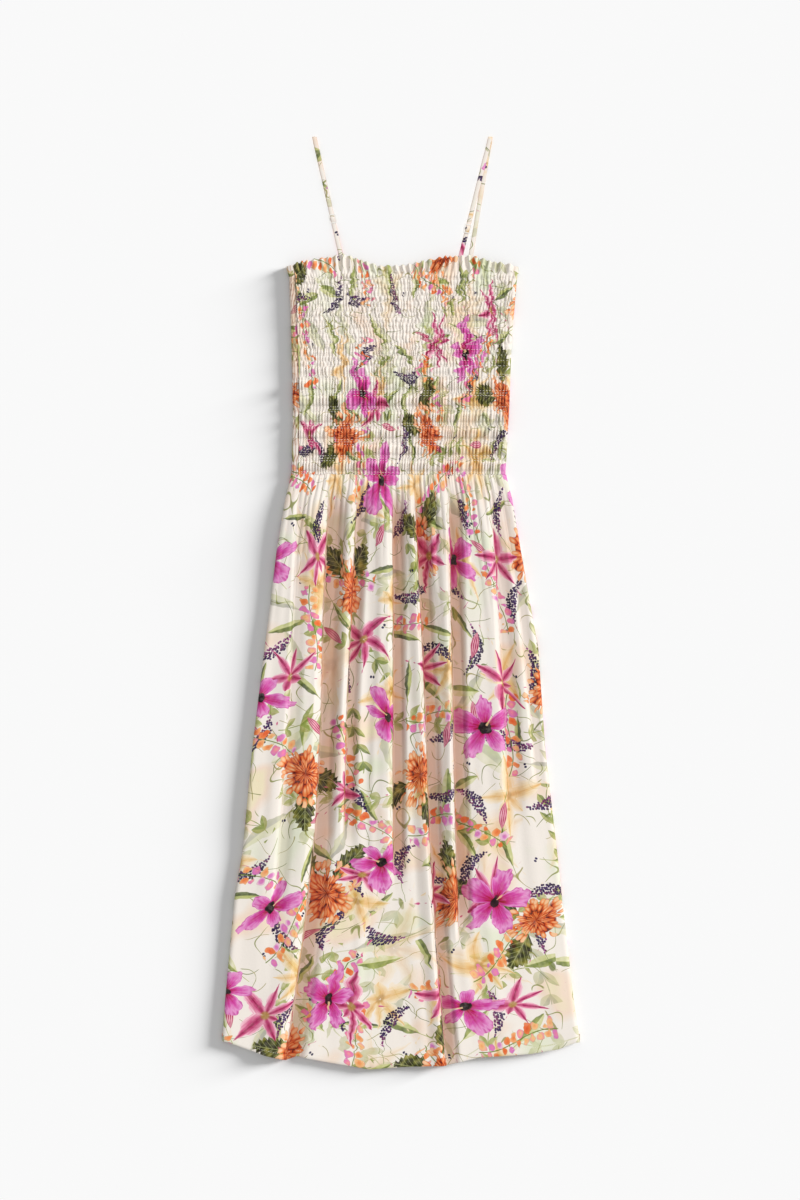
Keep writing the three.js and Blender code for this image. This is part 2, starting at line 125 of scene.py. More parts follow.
def column_x(side, turn, share, left, right, roll_left, roll_right):
    """The x of each column between two edges that are rolled over the given widths."""
    middle = mix(left + roll_left, right - roll_right, share)
    at_left = left + roll_left * (1 - np.cos(turn))
    at_right = right - roll_right * (1 - np.cos(turn))
    return np.where(side < 0, at_left, np.where(side > 0, at_right, middle))


# %% [markdown]
# ## Cloth from a grid
#
# Each panel is a grid of points, with a second grid that says which place of the flat, uncut cloth lies at
# each point. Cloth does not stretch: what shows keeps its length, and the rest of the panel's width is
# hidden in the gathers and folds. So the print is whole on a crest and jumps across a valley, as on real
# smocking. A third grid holds the shade painted into the dye at each point, mostly in the valleys of folds.

# %% Making a panel
PANEL_WIDTH = 580.0


def cut_across(x, z, hides):
    """Where each point lies across the flat panel. The width that does not show goes where hides is high."""
    shown = np.hypot(np.diff(x, axis=1), np.diff(z, axis=1))
    spare = np.maximum(PANEL_WIDTH - shown.sum(axis=1, keepdims=True), 0)
    weight = (hides[:, 1:] + hides[:, :-1] + 0.02) * shown
    steps = shown + spare * weight / weight.sum(axis=1, keepdims=True)
    return np.concatenate([0 * steps[:, :1], np.cumsum(steps, axis=1)], axis=1)


def panel(name, x, y, z, cut_x, cut_y, painted_shade, facing_up=True):
    """A mesh from grids in millimetres, with its flat cloth as a UV map in metres."""
    rows, cols = x.shape
    number = np.arange(rows * cols).reshape(rows, cols)
    corners = [number[:-1, :-1], number[:-1, 1:], number[1:, 1:], number[1:, :-1]]
    faces = np.stack(corners if facing_up else corners[::-1], axis=-1).reshape(-1, 4)
    mesh = bpy.data.meshes.new(name)
    points = np.stack([x, y, z], axis=-1).reshape(-1, 3) * MM
    mesh.from_pydata(points.tolist(), [], faces.tolist())
    mesh.shade_smooth()
    cut = np.stack([cut_x, cut_y], axis=-1).reshape(-1, 2) * MM
    mesh.uv_layers.new(name="cloth").uv.foreach_set("vector", cut[faces.ravel()].ravel())
    # the painted shade of each point, which the material multiplies into the dye
    mesh.attributes.new("painted_shade", "FLOAT", "POINT").data.foreach_set("value", np.clip(painted_shade, 0, 1).ravel())
    print(name, "has", 2 * len(faces), "triangles")
    return placed(name, mesh)


# %% [markdown]
# ## The skirt's folds
#
# A dress on a table keeps a few long folds where the cloth slid over itself, and each is listed here:
# an edge that runs down the skirt with a ridge on its left and a valley on its right. Under the waist seam
# the cloth is also drawn into short gathers, which die away at different lengths. Between them lie softer
# creases that only the light shows.

# %% Folds, gathers and soft creases
FOLD_LEVELS = (-600, -450, -300, -150, 0, 140)
FOLDS = (
    # the edge's x at those levels, ridge width and lift, valley width and sink, top and bottom
    ((-180, -170, -158, -147, -140, -134), 26, 2, 20, 1.5, 150, -420),
    ((-152, -130, -113, -105, -102, -95), 50, 6, 30, 6, 130, -640),
    ((-78, -77, -75, -72, -65, -58), 24, 4, 20, 5, 140, -330),
    ((-11, -11, -11, -11, -11, -12), 34, 6, 20, 6.5, 110, -380),
    ((58, 45, 36, 31, 24, 17), 22, 7, 21, 6.5, 120, -640),
    ((78, 75, 70, 67, 64, 62), 22, 7, 22, 6.5, 120, -460),
    ((150, 146, 140, 134, 125, 116), 34, 3, 26, 2.5, 130, -300),
    ((200, 190, 180, 168, 152, 130), 22, 2, 16, 1.5, 130, -260),
)
CREASES = (
    # x at the waist and at the hem, width, height, top and bottom
    (-118, -200, 26, 1.5, 60, -560), (-78, -120, 18, 1.6, 90, -500), (-44, -62, 15, 1.6, 100, -600),
    (-30, -36, 10, 1.3, 110, -420), (4, 8, 13, 1.5, 120, -300), (2, 22, 26, 1.5, -200, -640),
    (40, 92, 15, 1.5, 100, -560), (78, 132, 20, 1.8, 100, -620), (96, 168, 24, 1.4, 40, -500),
    (70, 112, 12, 1.0, 60, -300), (-62, -96, 12, 1.0, 60, -280), (122, 208, 22, 1.2, -60, -620),
)
GATHERS = 37
GATHER_HEIGHT = 2.0
GATHER_HIDES = 4.4  # how much more width a gather's valley hides than plain cloth
SHORTEST_GATHER, LONGEST_GATHER = 60.0, 260.0
PLEATS = 66
LOWEST_Z = 3.7
FADE = 70.0


def fold_forms(x, y):
    """Height of all the long folds, the shade painted into their valleys, and where they hide cloth."""
    height, painted_shade, hides = 0 * x, 0 * x, 0 * x
    for places, ridge, lift, valley, sink, top, bottom in FOLDS:
        shown = soft((top + FADE - y) / FADE) * soft((y - bottom) / FADE)
        d = x - np.interp(y, FOLD_LEVELS, places)
        q = np.where(d < 0, -d / ridge, d / valley)
        crest = np.where(d < 0, 0.18, 0.12)
        away = np.where(d < 0, soft((1 - q) / (1 - crest)), soft((1 - q) * 1.9))
        profile = shown * np.where(q < crest, soft(q / crest), away)
        height += np.where(d < 0, lift, -sink) * profile
        # painted shade over each fold's valley, from its edge across the valley, more where it sinks deeper
        painted_shade += np.where(d > 0, sink / 8.5 * shown * away, 0)
        hides += 1.2 * lift * shown * np.exp(-((d - 1.2) ** 2))
    return height, painted_shade, hides


def crease_height(x, y):
    height = 0 * x
    for at_waist, at_hem, width, rise, top, bottom in CREASES:
        middle = mix(at_hem, at_waist, (y + TOP) / (WAIST_Y + TOP)) + 5 * np.sin(y / 90 + at_waist)
        shown = soft((top - y) / 110) * soft((y - bottom) / 110)
        height += rise * shown * np.exp(-(((x - middle) / width * 2) ** 2))
    return height


def gather_forms(share, y):
    """Height of the gathers, and how deep their valleys are, for the cloth they hide and the shade painted
    there. The bodice's pleats run on at the top.
    """
    down = WAIST_Y - y
    phase = share * GATHERS + 0.55 * drift(share * 17, 2) * soft(share * 30) * soft((1 - share) * 30)
    phase = phase + 0.3 * drift(share * 30, y / 45) * soft(down / 50)
    number = 2 * np.floor(np.clip(phase, 0, GATHERS - 1)) + 1
    length = mix(SHORTEST_GATHER, LONGEST_GATHER, uneven(number, 1))
    fade = 1 - soft(down / length)
    crest = (0.5 - 0.5 * np.cos(phase * 2 * math.pi)) ** 0.5
    height = GATHER_HEIGHT * (0.45 + 0.8 * uneven(number, 2)) * fade * crest * soft(down / 8 + 0.25)
    pleats = 0.5 - 0.5 * np.cos(2 * math.pi * (share * PLEATS + 0.5 * drift(share * 25, 6)))
    return height + 0.7 * pleats * (1 - soft(down / 38)), fade * (1 - crest) ** 2


# %% [markdown]
# ## The skirt
#
# The front is one sheet that turns down to the side seams and is folded under at the hem, so its edge has
# the thickness of a real turned hem. The back lies flat on the surface and meets the front at the seams.

# %% Skirt front and back
HEM_TURN = ((9.0, -1.3), (2.0, -1.4), (0.3, -1.1), (-0.3, -0.5))  # inward and upward from the edge


def hem_rows(y, z, direction):
    """Adds the rows of a turned edge in front of the first row. direction is 1 for an edge at the bottom."""
    new_y = [y[:1] + direction * along for along, _ in HEM_TURN]
    new_z = [z[:1] + rise for _, rise in HEM_TURN]
    return np.concatenate([*new_y, y]), np.concatenate([*new_z, z])


def repeat_first(grid):
    return np.concatenate([np.repeat(grid[:1], len(HEM_TURN), axis=0), grid])


def hemmed_panel(name, x, y, z, cut_x, painted_shade, facing_up=True):
    """A panel of the skirt with its hem turned in. The print turns back with the cloth."""
    up = 1 if facing_up else -1
    hem_y, hem_z = hem_rows(y, up * z, 1)
    x, cut_x, y, painted_shade = (repeat_first(grid) for grid in (x, cut_x, y, painted_shade))
    return panel(name, x, hem_y, up * hem_z, cut_x, y - (hem_y - y), painted_shade, facing_up)


def waist_wave(x, y):
    """The seam at the waist is a little uneven, because the gathers pull at it."""
    return 1.1 * drift(x / 8, 4) * soft(1 - np.abs(y - WAIST_Y) / 9)


def skirt_outline(share, v):
    return mix(from_table(HEM_LINE, share), WAIST_Y, v)


def skirt_front():
    side, turn, share = columns(370, 7)
    v = np.linspace(0, 1, 236)[:, None]
    y = skirt_outline(share[None, :], v)
    x = column_x(side, turn, share, from_table(SKIRT_EDGES, y), from_table(SKIRT_EDGES, y, 2), 6, 6)
    folds, painted_shade, hides = fold_forms(x, y)
    gathers, valleys = gather_forms(share[None, :] + 0 * y, y)
    valleys = valleys * (side == 0)
    below = soft((WAIST_Y - y) / 90)
    pinned = 1 - soft((WAIST_Y - y) / 6)
    base = mix(7.2, 9.0 - 2.0 * (WAIST_Y - y) / (WAIST_Y + TOP), below) - pinned
    wander = 0.7 * below * drift(share * 17 + 3, y / 140) + 0.35 * below * drift(share * 41, y / 55)
    folded = soft((WAIST_Y - y) / 60)
    full = np.maximum(LOWEST_Z, base + folds * folded + gathers + crease_height(x, y) + wander)
    z = SEAM_Z + (full - SEAM_Z) * np.sin(turn)
    cut_x = cut_across(x, z, hides + GATHER_HIDES * valleys)
    y = y + waist_wave(x, y)
    # painted shade: the long folds' valleys, and a little more in the gathers' valleys
    return hemmed_panel("skirt_front_cloth", x, y, z, cut_x, painted_shade * folded + 0.15 * valleys)


def skirt_back():
    side, turn, share = columns(234, 5)
    v = np.linspace(0, 1, 150)[:, None]
    y = mix(from_table(HEM_LINE, share)[None, :] + 1.3, WAIST_Y, v)
    x = column_x(side, turn, share, from_table(SKIRT_EDGES, y), from_table(SKIRT_EDGES, y, 2), 4, 4)
    gathers, valleys = gather_forms(share[None, :] + 0 * y, y)
    valleys = valleys * (side == 0)
    creases = 0.5 * (1 + drift(share * 23 + 60, y / 160))
    lowest = 0.5 * valleys * GATHER_HEIGHT + creases * soft((WAIST_Y - y) / 60)
    z = SEAM_Z * (1 - np.sin(turn)) + lowest * np.sin(turn)
    cut_x = cut_across(x, z, GATHER_HIDES * valleys + 0.1)
    # painted shade in the gathers' valleys on the back
    return hemmed_panel("skirt_back_cloth", x, y, z, cut_x, 0.6 * valleys, facing_up=False)


skirt = [skirt_front(), skirt_back()]

# %% [markdown]
# ## The shirred bodice
#
# Elastic thread runs across the bodice: groups of three rows in its lower half, evenly spaced rows above.
# Between two rows the cloth can only bulge, so it stands up in small pleats, side by side. The pleats of one
# band do not line up with those of the next, because each band gets its own offset, and every thread presses
# the cloth down in a narrow groove. The pleats are deep, because they hold the cloth of a panel cut twice as
# wide. Above the top row the cloth runs free and ruffles into a frill.

# %% Pleats, thread rows and frill
GROUPS = 12
PITCH = (FIRST_ROW_Y - WAIST_Y) / GROUPS
PLEAT_HEIGHT = 5.4
BACK_PLEAT_HEIGHT = 4.2
BACK_PLEATS = 70
BACK_DIPS = (0.4, 0.4, 1, 0.1)  # share of that height on the lip, the side fold, the flat part and the roll
SMALLEST_PLEAT = 0.3
LOWER_GROUPS = 7  # below this group the threads stand in threes, above it they are evenly spaced
THREES = (-3.2, 0.0, 3.2)
EVENLY = (-PITCH / 3, 0.0, PITCH / 3)
THREADS = np.array(
    [WAIST_Y + k * PITCH + offset for k in range(LOWER_GROUPS) for offset in THREES if k or offset >= 0]
    + [WAIST_Y + k * PITCH + offset for k in range(LOWER_GROUPS, GROUPS + 1) for offset in EVENLY
       if k < GROUPS or offset <= 0]
)
BANDS = np.array(
    [WAIST_Y + k * PITCH for k in range(LOWER_GROUPS)] + [t for t in THREADS if t > WAIST_Y + 6.3 * PITCH]
)
FRONT_BASE_Z = 6.6
FRILL_WAVES = 33
FRILL_WAVE_HEIGHT = 2.9
LEFT_WRAP = 9.0
SEAM_GAP = 0.3


def bodice_rows(closest, frill_rows):
    """Height and share of the frill for each row: one row on each thread, others between them."""
    heights = [WAIST_Y]
    for thread in [*THREADS[1:], FIRST_ROW_Y + 3.5]:
        between = max(1, round((thread - heights[-1]) / closest))
        heights.extend(np.linspace(heights[-1], thread, between + 1)[1:])
    base = np.concatenate([heights, np.full(frill_rows, heights[-1])])
    frill = np.concatenate([np.zeros(len(heights)), np.linspace(0, 1, frill_rows + 1)[1:]])
    return base[:, None], frill[:, None]


def frill_y(base, frill, x):
    return mix(base, from_table(FRILL_LINE, x), frill)


def pleat_forms(share, y, frill, pleats=PLEATS):
    """Crest (0 to 1), size, puff and thread groove of the shirring. y and frill are one column of rows."""
    away = np.min(np.abs(y - THREADS[None, :]), axis=1)[:, None]
    upper = soft((y - WAIST_Y - 4 * PITCH + 25 * drift(share * 6, 1)) / (3 * PITCH))
    slipped = y + upper * (3.2 * drift(share * 19, y / 11) + 1.6 * drift(share * 47, y / 7))
    band = sum(soft((slipped - height) / 3 + 0.5) for height in BANDS)
    here = np.floor(band)
    wide = mix(drift(share * 14, here * 7.31), drift(share * 14, (here + 1) * 7.31), band - here)
    fine = mix(drift(share * 33, here * 3.7), drift(share * 33, (here + 1) * 3.7), band - here)
    streaks = 0.3 * upper * drift(share * 70, y / 9)
    phase = share * pleats + (0.9 * wide + 0.25 * fine + streaks) * (1 - soft(frill * 3))
    crest = (0.5 - 0.5 * np.cos(phase * 2 * math.pi)) ** 0.62
    size = mix(1, 0.8, upper) * mix(SMALLEST_PLEAT, 1, uneven(np.floor(phase), np.floor(band + 0.5)))
    puff = mix(soft((away - 0.4) / 4), 0.6, 0.7 * upper) * (1 - soft(frill * 4))
    groove = mix(1, 0.45, upper) * np.exp(-((away / 0.7) ** 2)) * (frill < 0.02)
    return crest, size, puff, groove


def bodice_front():
    side, turn, share = columns(PLEATS * 8, 5, left=False)
    base, frill = bodice_rows(1.6, 13)
    left = from_table(BODICE_EDGES, base + 25 * frill) + LEFT_WRAP + SEAM_GAP
    right = from_table(BODICE_EDGES, base + 25 * frill, 2)
    x = column_x(side, turn, share, left, right, 0, 5)
    y = frill_y(base, frill, x)
    crest, size, puff, groove = pleat_forms(share[None, :] + 0 * y, base, frill)
    crest = np.where(side == 0, crest, 0.7)
    free = soft(frill * 1.6)
    wave = 1 + np.sin(share * FRILL_WAVES * 2 * math.pi + 3.4 * drift(share * 15, frill))
    wave = wave * (0.8 + 0.2 * drift(share * 29, 8))
    ruffle = FRILL_WAVE_HEIGHT * free * wave
    height = PLEAT_HEIGHT * size * mix(0.3, 1, puff) * crest
    rumpled = 0.9 * drift(share * 8, y / 45) + 0.5 * drift(share * 21, y / 20)
    full = FRONT_BASE_Z + height * (1 - free) + 1.3 * puff - 0.7 * groove + ruffle + rumpled * (1 - free)
    z = SEAM_Z + (full - SEAM_Z) * np.sin(turn)
    valleys = (1 - crest) ** 2 * (1 - free) + 0.5 * free * (1 - wave / 2) ** 2
    cut_x = cut_across(x, z, 6 * valleys)
    # painted shade in the pleats' valleys, the frill's hollows and the thread grooves
    painted_shade = valleys * mix(0.06, 0.18, puff) * mix(0.4, 1, size) + 0.05 * groove
    y = y + 1.2 * frill * (wave - 1) + waist_wave(x, y)
    print("bodice rows:", len(base), "on", len(THREADS), "threads")
    turned = [g[::-1] for g in (x, y, z, cut_x, painted_shade)]
    y_turned, z_turned = hem_rows(turned[1], turned[2], -1)
    x_turned, cut_turned, painted_shade_turned = (repeat_first(turned[k]) for k in (0, 3, 4))
    grids = [g[::-1] for g in (x_turned, y_turned, z_turned, cut_turned, painted_shade_turned)]
    return panel("bodice_front_cloth", *grids[:3], grids[3], grids[1], grids[4]), (x, y, z, crest)


def bodice_back():
    """Its section runs from the lip on the front, round the left side, under the dress and up again."""
    lip_z = 7.6
    fold = math.pi * np.linspace(1, 0, 13)
    lip = np.linspace(1, 0, 9)[:-1]
    flat = np.linspace(0, 1, PLEATS * 6)[1:]
    roll = np.linspace(0, QUARTER, 6)[1:]
    kinds = (len(lip), len(fold), len(flat), len(roll))
    base, frill = bodice_rows(2.6, 8)
    left = from_table(BODICE_EDGES, base + 25 * frill)
    right = from_table(BODICE_EDGES, base + 25 * frill, 2)
    lip_x = left + 5 + (LEFT_WRAP - 5) * lip[None, :]
    fold_x = left + 5 * (1 - np.sin(fold))[None, :]
    flat_x = mix(left + 5, right - 4, flat[None, :])
    roll_x = right - 4 * (1 - np.sin(roll))[None, :]
    x = np.concatenate([lip_x, fold_x, flat_x, roll_x], axis=1)
    radius = lip_z / 2
    section = np.concatenate(
        [0 * lip + lip_z, radius - radius * np.cos(fold), 0 * flat, SEAM_Z * (1 - np.cos(roll))]
    )
    inward_z = np.concatenate([0 * lip - 1, np.cos(fold), 0 * flat + 1, np.cos(roll)])
    inward_x = np.concatenate([0 * lip, np.sin(fold), 0 * flat, -np.sin(roll)])
    y = frill_y(base, frill, x)
    across = np.concatenate([[0], np.cumsum(np.hypot(np.diff(x[0]), np.diff(section)))])
    share = (across / across[-1])[None, :] + 0 * y
    crest, size, puff, groove = pleat_forms(share, base, frill, pleats=BACK_PLEATS)
    dip = BACK_PLEAT_HEIGHT * size * (1 - crest) * (1 - soft(frill * 2)) + 0.4 * groove
    dip = dip * np.concatenate([np.full(n, k) for n, k in zip(kinds, BACK_DIPS)])
    z = section + inward_z * dip
    x = x + inward_x * dip
    cut_x = cut_across(x, z, 5 * (1 - crest) ** 2)
    grids = (x, y - 1.3 * frill + waist_wave(x, y), z)
    # painted shade in the back's pleat valleys and thread grooves
    painted_shade = 0.9 * (1 - crest) ** 2 + 0.25 * groove
    return panel("bodice_back_cloth", *grids, cut_x, y, painted_shade, facing_up=False)


front_cloth, front_grid = bodice_front()
back_cloth = bodice_back()

# %% [markdown]
# ## Straps and sliders
#
# Each strap is a rouleau: a narrow tube of the same cloth, sewn inside the front, laid up and over the
# slider's bar, folded at the shoulder and sewn inside the back. Its middle line has a few listed points,
# and the tube is drawn round it with an oval section.

# %% Straps
STRAPS = (
    # side, fold x, front x, back x, slider y
    ("left", -113.0, -71.4, -71.4, 499.0),
    ("right", 116.5, 70.3, 85.9, 486.0),
)
SEWN_Y = FIRST_ROW_Y + 1
FRILL_CLEAR_Y = 456.0  # above this the straps are clear of the frill
STRAP_ROUND = 13.0
STRAP_RINGS = 230
STRAP_HALF_WIDTH = 3.0
STRAP_HALF_THICK = 0.75
FRONT_STRAND_Z, BACK_STRAND_Z = 2.3, 0.75
FRONT_SEWN_Z, BACK_SEWN_Z = 4.4, 2.9
OVER_BAR_Z = 5.2
BAR = 1.3
CLIMB = 4.05


def strap_line(fold_x, front_x, back_x, slider_y):
    """Points of a strap's middle line: y and z listed, x on the straight lines to the fold."""
    lean = 3.0 * abs(fold_x - front_x) / (TOP - SEWN_Y)
    fold_y = TOP - 1.5 - lean
    radius = (FRONT_STRAND_Z - BACK_STRAND_Z) / 2
    s = slider_y
    front = [
        (SEWN_Y, FRONT_SEWN_Z), (FRILL_CLEAR_Y, FRONT_SEWN_Z), (mix(FRILL_CLEAR_Y, s - CLIMB, 0.5), 3.2),
        (s - CLIMB - BAR, FRONT_STRAND_Z), (s - BAR, OVER_BAR_Z), (s + BAR, OVER_BAR_Z),
        (s + CLIMB + BAR, FRONT_STRAND_Z), (mix(s, fold_y, 0.5), FRONT_STRAND_Z), (fold_y, FRONT_STRAND_Z),
    ]
    back = [(fold_y, BACK_STRAND_Z), (mix(fold_y, FRILL_CLEAR_Y, 0.5), BACK_STRAND_Z), (482, BACK_STRAND_Z),
            (FRILL_CLEAR_Y, BACK_SEWN_Z), (SEWN_Y, BACK_SEWN_Z)]

    def place(y, z, end_x):
        return (mix(end_x, fold_x, (y - SEWN_Y) / (fold_y - SEWN_Y)), y, z)

    top = [(fold_x, fold_y + radius * math.sin(a), BACK_STRAND_Z + radius + radius * math.cos(a))
           for a in (0.5, 1.2, 1.9, 2.6)]
    return np.array([place(y, z, front_x) for y, z in front] + top + [place(y, z, back_x) for y, z in back])


def along(points, count):
    """Evenly spaced points on a line of points, slightly smoothed, with the distance to each."""
    lengths = np.concatenate([[0], np.cumsum(np.linalg.norm(np.diff(points, axis=0), axis=1))])
    at = np.linspace(0, lengths[-1], count)
    line = np.stack([np.interp(at, lengths, points[:, k]) for k in range(3)], axis=1)
    for _ in range(2):
        line[1:-1] = (line[:-2] + 2 * line[1:-1] + line[2:]) / 4
    return line, at


def strap(side, fold_x, front_x, back_x, slider_y):
    line, at = along(strap_line(fold_x, front_x, back_x, slider_y), STRAP_RINGS)
    tangent = np.gradient(line, axis=0)
    tangent /= np.linalg.norm(tangent, axis=1, keepdims=True)
    sideways = np.stack([tangent[:, 1], -tangent[:, 0], 0 * at], axis=1)
    sideways[np.linalg.norm(sideways, axis=1) < 0.3] = (1, 0, 0)
    sideways /= np.linalg.norm(sideways, axis=1, keepdims=True)
    sideways[sideways[:, 0] < 0] *= -1
    up = np.cross(sideways, tangent)
    turns = np.linspace(0, 2 * math.pi, 15)
    swell = 1 + 0.06 * drift(at / 9, front_x)
    wide = STRAP_HALF_WIDTH * 0.97 * np.cos(turns)[None, :, None] * swell[:, None, None]
    high = STRAP_HALF_THICK * np.sin(turns)[None, :, None]
    points = line[:, None, :] + wide * sideways[:, None, :] + high * up[:, None, :]
    around = STRAP_ROUND * turns[None, :] / (2 * math.pi) + 0 * at[:, None]
    x, y, z = np.moveaxis(points, 2, 0)
    # painted shade along the strap's two side edges
    painted_shade = 0.5 * np.abs(np.cos(turns))[None, :] ** 6 + 0 * x
    name = f"strap_{side}_cloth"
    return panel(name, x, y, np.maximum(z, 0), around, at[:, None] + 0 * x, painted_shade, facing_up=False)


straps = [strap(*row) for row in STRAPS]

# %% [markdown]
# The slider is a small moulded plate with two slots. It is drawn as a flat curve with two holes, given its
# thickness and a bevel, and turned with its strap before it becomes a mesh, so the finished piece sits
# unturned at the origin.

# %% Sliders
SLIDER_Z = 3.0
SLIDER_HALF_WIDTH, SLIDER_HALF_LENGTH, SLIDER_CORNER = 4.45, 5.7, 1.5
SLOT_HALF_WIDTH, SLOT, SLOT_CORNER = 3.65, 4.0, 0.6
SLOT_GAP = 0.25  # between the bar and each slot


def plain_mesh(holder):
    """The mesh that an object evaluates to. The object itself is removed."""
    mesh = bpy.data.meshes.new_from_object(holder.evaluated_get(bpy.context.evaluated_depsgraph_get()))
    bpy.data.objects.remove(holder)
    return mesh


def rounded_box(curve, half_width, low, high, radius):
    """A closed poly spline round a box with rounded corners."""
    corners = ((1, low, -1), (1, high, 0), (-1, high, 1), (-1, low, 2))
    points = []
    for sign, edge, quarter in corners:
        centre_y = edge + (radius if edge == low else -radius)
        for step in range(5):
            a = (quarter + step / 4) * QUARTER
            px = sign * (half_width - radius) + radius * math.cos(a)
            points.append((px, centre_y + radius * math.sin(a)))
    spline = curve.splines.new("POLY")
    spline.points.add(len(points) - 1)
    for point, (px, py) in zip(spline.points, points):
        point.co = (px * MM, py * MM, 0, 1)
    spline.use_cyclic_u = True


def slider(side, fold_x, front_x, back_x, slider_y):
    curve = bpy.data.curves.new("slider_curve", "CURVE")
    curve.dimensions = "2D"
    curve.fill_mode = "BOTH"
    curve.extrude = 0.4 * MM
    curve.bevel_depth = 0.25 * MM
    curve.bevel_resolution = 3
    rounded_box(curve, SLIDER_HALF_WIDTH, -SLIDER_HALF_LENGTH, SLIDER_HALF_LENGTH, SLIDER_CORNER)
    for low in (BAR / 2 + SLOT_GAP, -BAR / 2 - (SLOT_GAP + SLOT)):
        rounded_box(curve, SLOT_HALF_WIDTH, low, low + SLOT, SLOT_CORNER)
    mesh = plain_mesh(placed("slider_holder", curve))
    share = (slider_y - SEWN_Y) / (TOP - SEWN_Y)
    lean = math.atan2(front_x - fold_x, TOP - SEWN_Y)
    turn = np.array([[math.cos(lean), -math.sin(lean), 0], [math.sin(lean), math.cos(lean), 0], [0, 0, 1]])
    points = np.empty(3 * len(mesh.vertices))
    mesh.vertices.foreach_get("co", points)
    centre = np.array([mix(front_x, fold_x, share), slider_y, SLIDER_Z + 0.65]) * MM
    mesh.vertices.foreach_set("co", (points.reshape(-1, 3) @ turn.T + centre).ravel())
    mesh.shade_smooth()
    name = f"slider_{side}_nylon"
    print(name, "has", len(mesh.polygons), "faces")
    return placed(name, mesh)


sliders = [slider(*row) for row in STRAPS]

# %% [markdown]
# ## Formulas as nodes
#
# The print is drawn by formulas: a petal is a rule about distance and angle. Wiring each sum by hand would
# bury the drawing under links, so a Wire stands for one value in a node tree and ordinary signs add the
# Math nodes. A motif then reads like the formula it is.

# %% A value in a node tree
def adds(operation, swapped=False):
    """A method of Wire that adds one Math node."""

    def method(self, *others):
        values = (*others, self) if swapped else (self, *others)
        return self.sum(operation, *values)

    return method


class Wire:
    """One value in a node tree. Sums of wires add Math nodes to the tree."""

    def __init__(self, tree, socket):
        self.tree = tree
        self.socket = socket

    def sum(self, operation, *values):
        node = self.tree.nodes.new("ShaderNodeMath")
        node.operation = operation
        for slot, value in zip(node.inputs, values):
            feed(self.tree, slot, value)
        return Wire(self.tree, node.outputs[0])

    __add__, __radd__ = adds("ADD"), adds("ADD", swapped=True)
    __sub__, __rsub__ = adds("SUBTRACT"), adds("SUBTRACT", swapped=True)
    __mul__, __truediv__, __pow__ = adds("MULTIPLY"), adds("DIVIDE"), adds("POWER")
    at_least, at_most = adds("MAXIMUM"), adds("MINIMUM")
    size, fraction, whole, sine = adds("ABSOLUTE"), adds("FRACT"), adds("FLOOR"), adds("SINE")

    def rise(self, low, high):
        """0 under low, 1 over high, and soft between them."""
        node = self.tree.nodes.new("ShaderNodeMapRange")
        node.interpolation_type = "SMOOTHSTEP"
        for name, value in (("Value", self), ("From Min", low), ("From Max", high)):
            feed(self.tree, node.inputs[name], value)
        return Wire(self.tree, node.outputs["Result"])

    def ramp(self, *stops):
        """The dye at this value, from (place, dye) stops."""
        node = self.tree.nodes.new("ShaderNodeValToRGB")
        feed(self.tree, node.inputs[0], self)
        elements = node.color_ramp.elements
        while len(elements) < len(stops):
            elements.new(1.0)
        for element, (place, colour) in zip(elements, stops):
            element.position = place
            element.color = dye(colour)
        return Wire(self.tree, node.outputs["Color"])


def feed(tree, slot, value):
    """Links a wire to a socket, or sets the socket's own value."""
    if isinstance(value, Wire):
        tree.links.new(value.socket, slot)
    else:
        slot.default_value = value


def dye(code):
    """A colour from its six-figure code, as the linear values that shaders use."""
    parts = [int(code[i : i + 2], 16) / 255 for i in (1, 3, 5)]
    linear = [c / 12.92 if c < 0.04045 else ((c + 0.055) / 1.055) ** 2.4 for c in parts]
    return (*linear, 1.0)


def over(tree, ground, ink, mask, blend="MIX"):
    """The ground with ink laid over it where the mask says."""
    node = tree.nodes.new("ShaderNodeMix")
    node.data_type = "RGBA"
    node.blend_type = blend
    feed(tree, node.inputs["Factor"], mask)
    feed(tree, node.inputs[6], ground)
    feed(tree, node.inputs[7], ink)
    return Wire(tree, node.outputs[2])


# %% [markdown]
# ## A motif
#
# Every motif of the print is a node group of its own. It gets the place on the cloth in millimetres and
# gives back its dyes and a mask. Inside, one Voronoi texture scatters the motif over the cloth: each cell
# has one centre, so the place measured from that centre, turned by a random amount, is where one flower is
# drawn. No picture is stored: the layout comes from the spacing, the seed and an offset for each piece.

# %% Scattering a motif over the cloth
FULL_TURN = 2 * math.pi


def new_group(name, inputs, outputs):
    """An empty node group with named sockets, and its tree's input and output nodes."""
    tree = bpy.data.node_groups.new(name, "ShaderNodeTree")
    for label, kind in inputs:
        tree.interface.new_socket(label, in_out="INPUT", socket_type=kind)
    for label, kind in outputs:
        tree.interface.new_socket(label, in_out="OUTPUT", socket_type=kind)
    return tree, tree.nodes.new("NodeGroupInput"), tree.nodes.new("NodeGroupOutput")


def vector_sum(tree, operation, a, b):
    node = tree.nodes.new("ShaderNodeVectorMath")
    node.operation = operation
    feed(tree, node.inputs[0], a)
    feed(tree, node.inputs["Scale" if operation == "SCALE" else 1], b)
    return Wire(tree, node.outputs[0])


def split(tree, vector):
    node = tree.nodes.new("ShaderNodeSeparateXYZ")
    feed(tree, node.inputs[0], vector)
    return [Wire(tree, socket) for socket in node.outputs]


def join(tree, x, y):
    node = tree.nodes.new("ShaderNodeCombineXYZ")
    feed(tree, node.inputs[0], x)
    feed(tree, node.inputs[1], y)
    return Wire(tree, node.outputs[0])


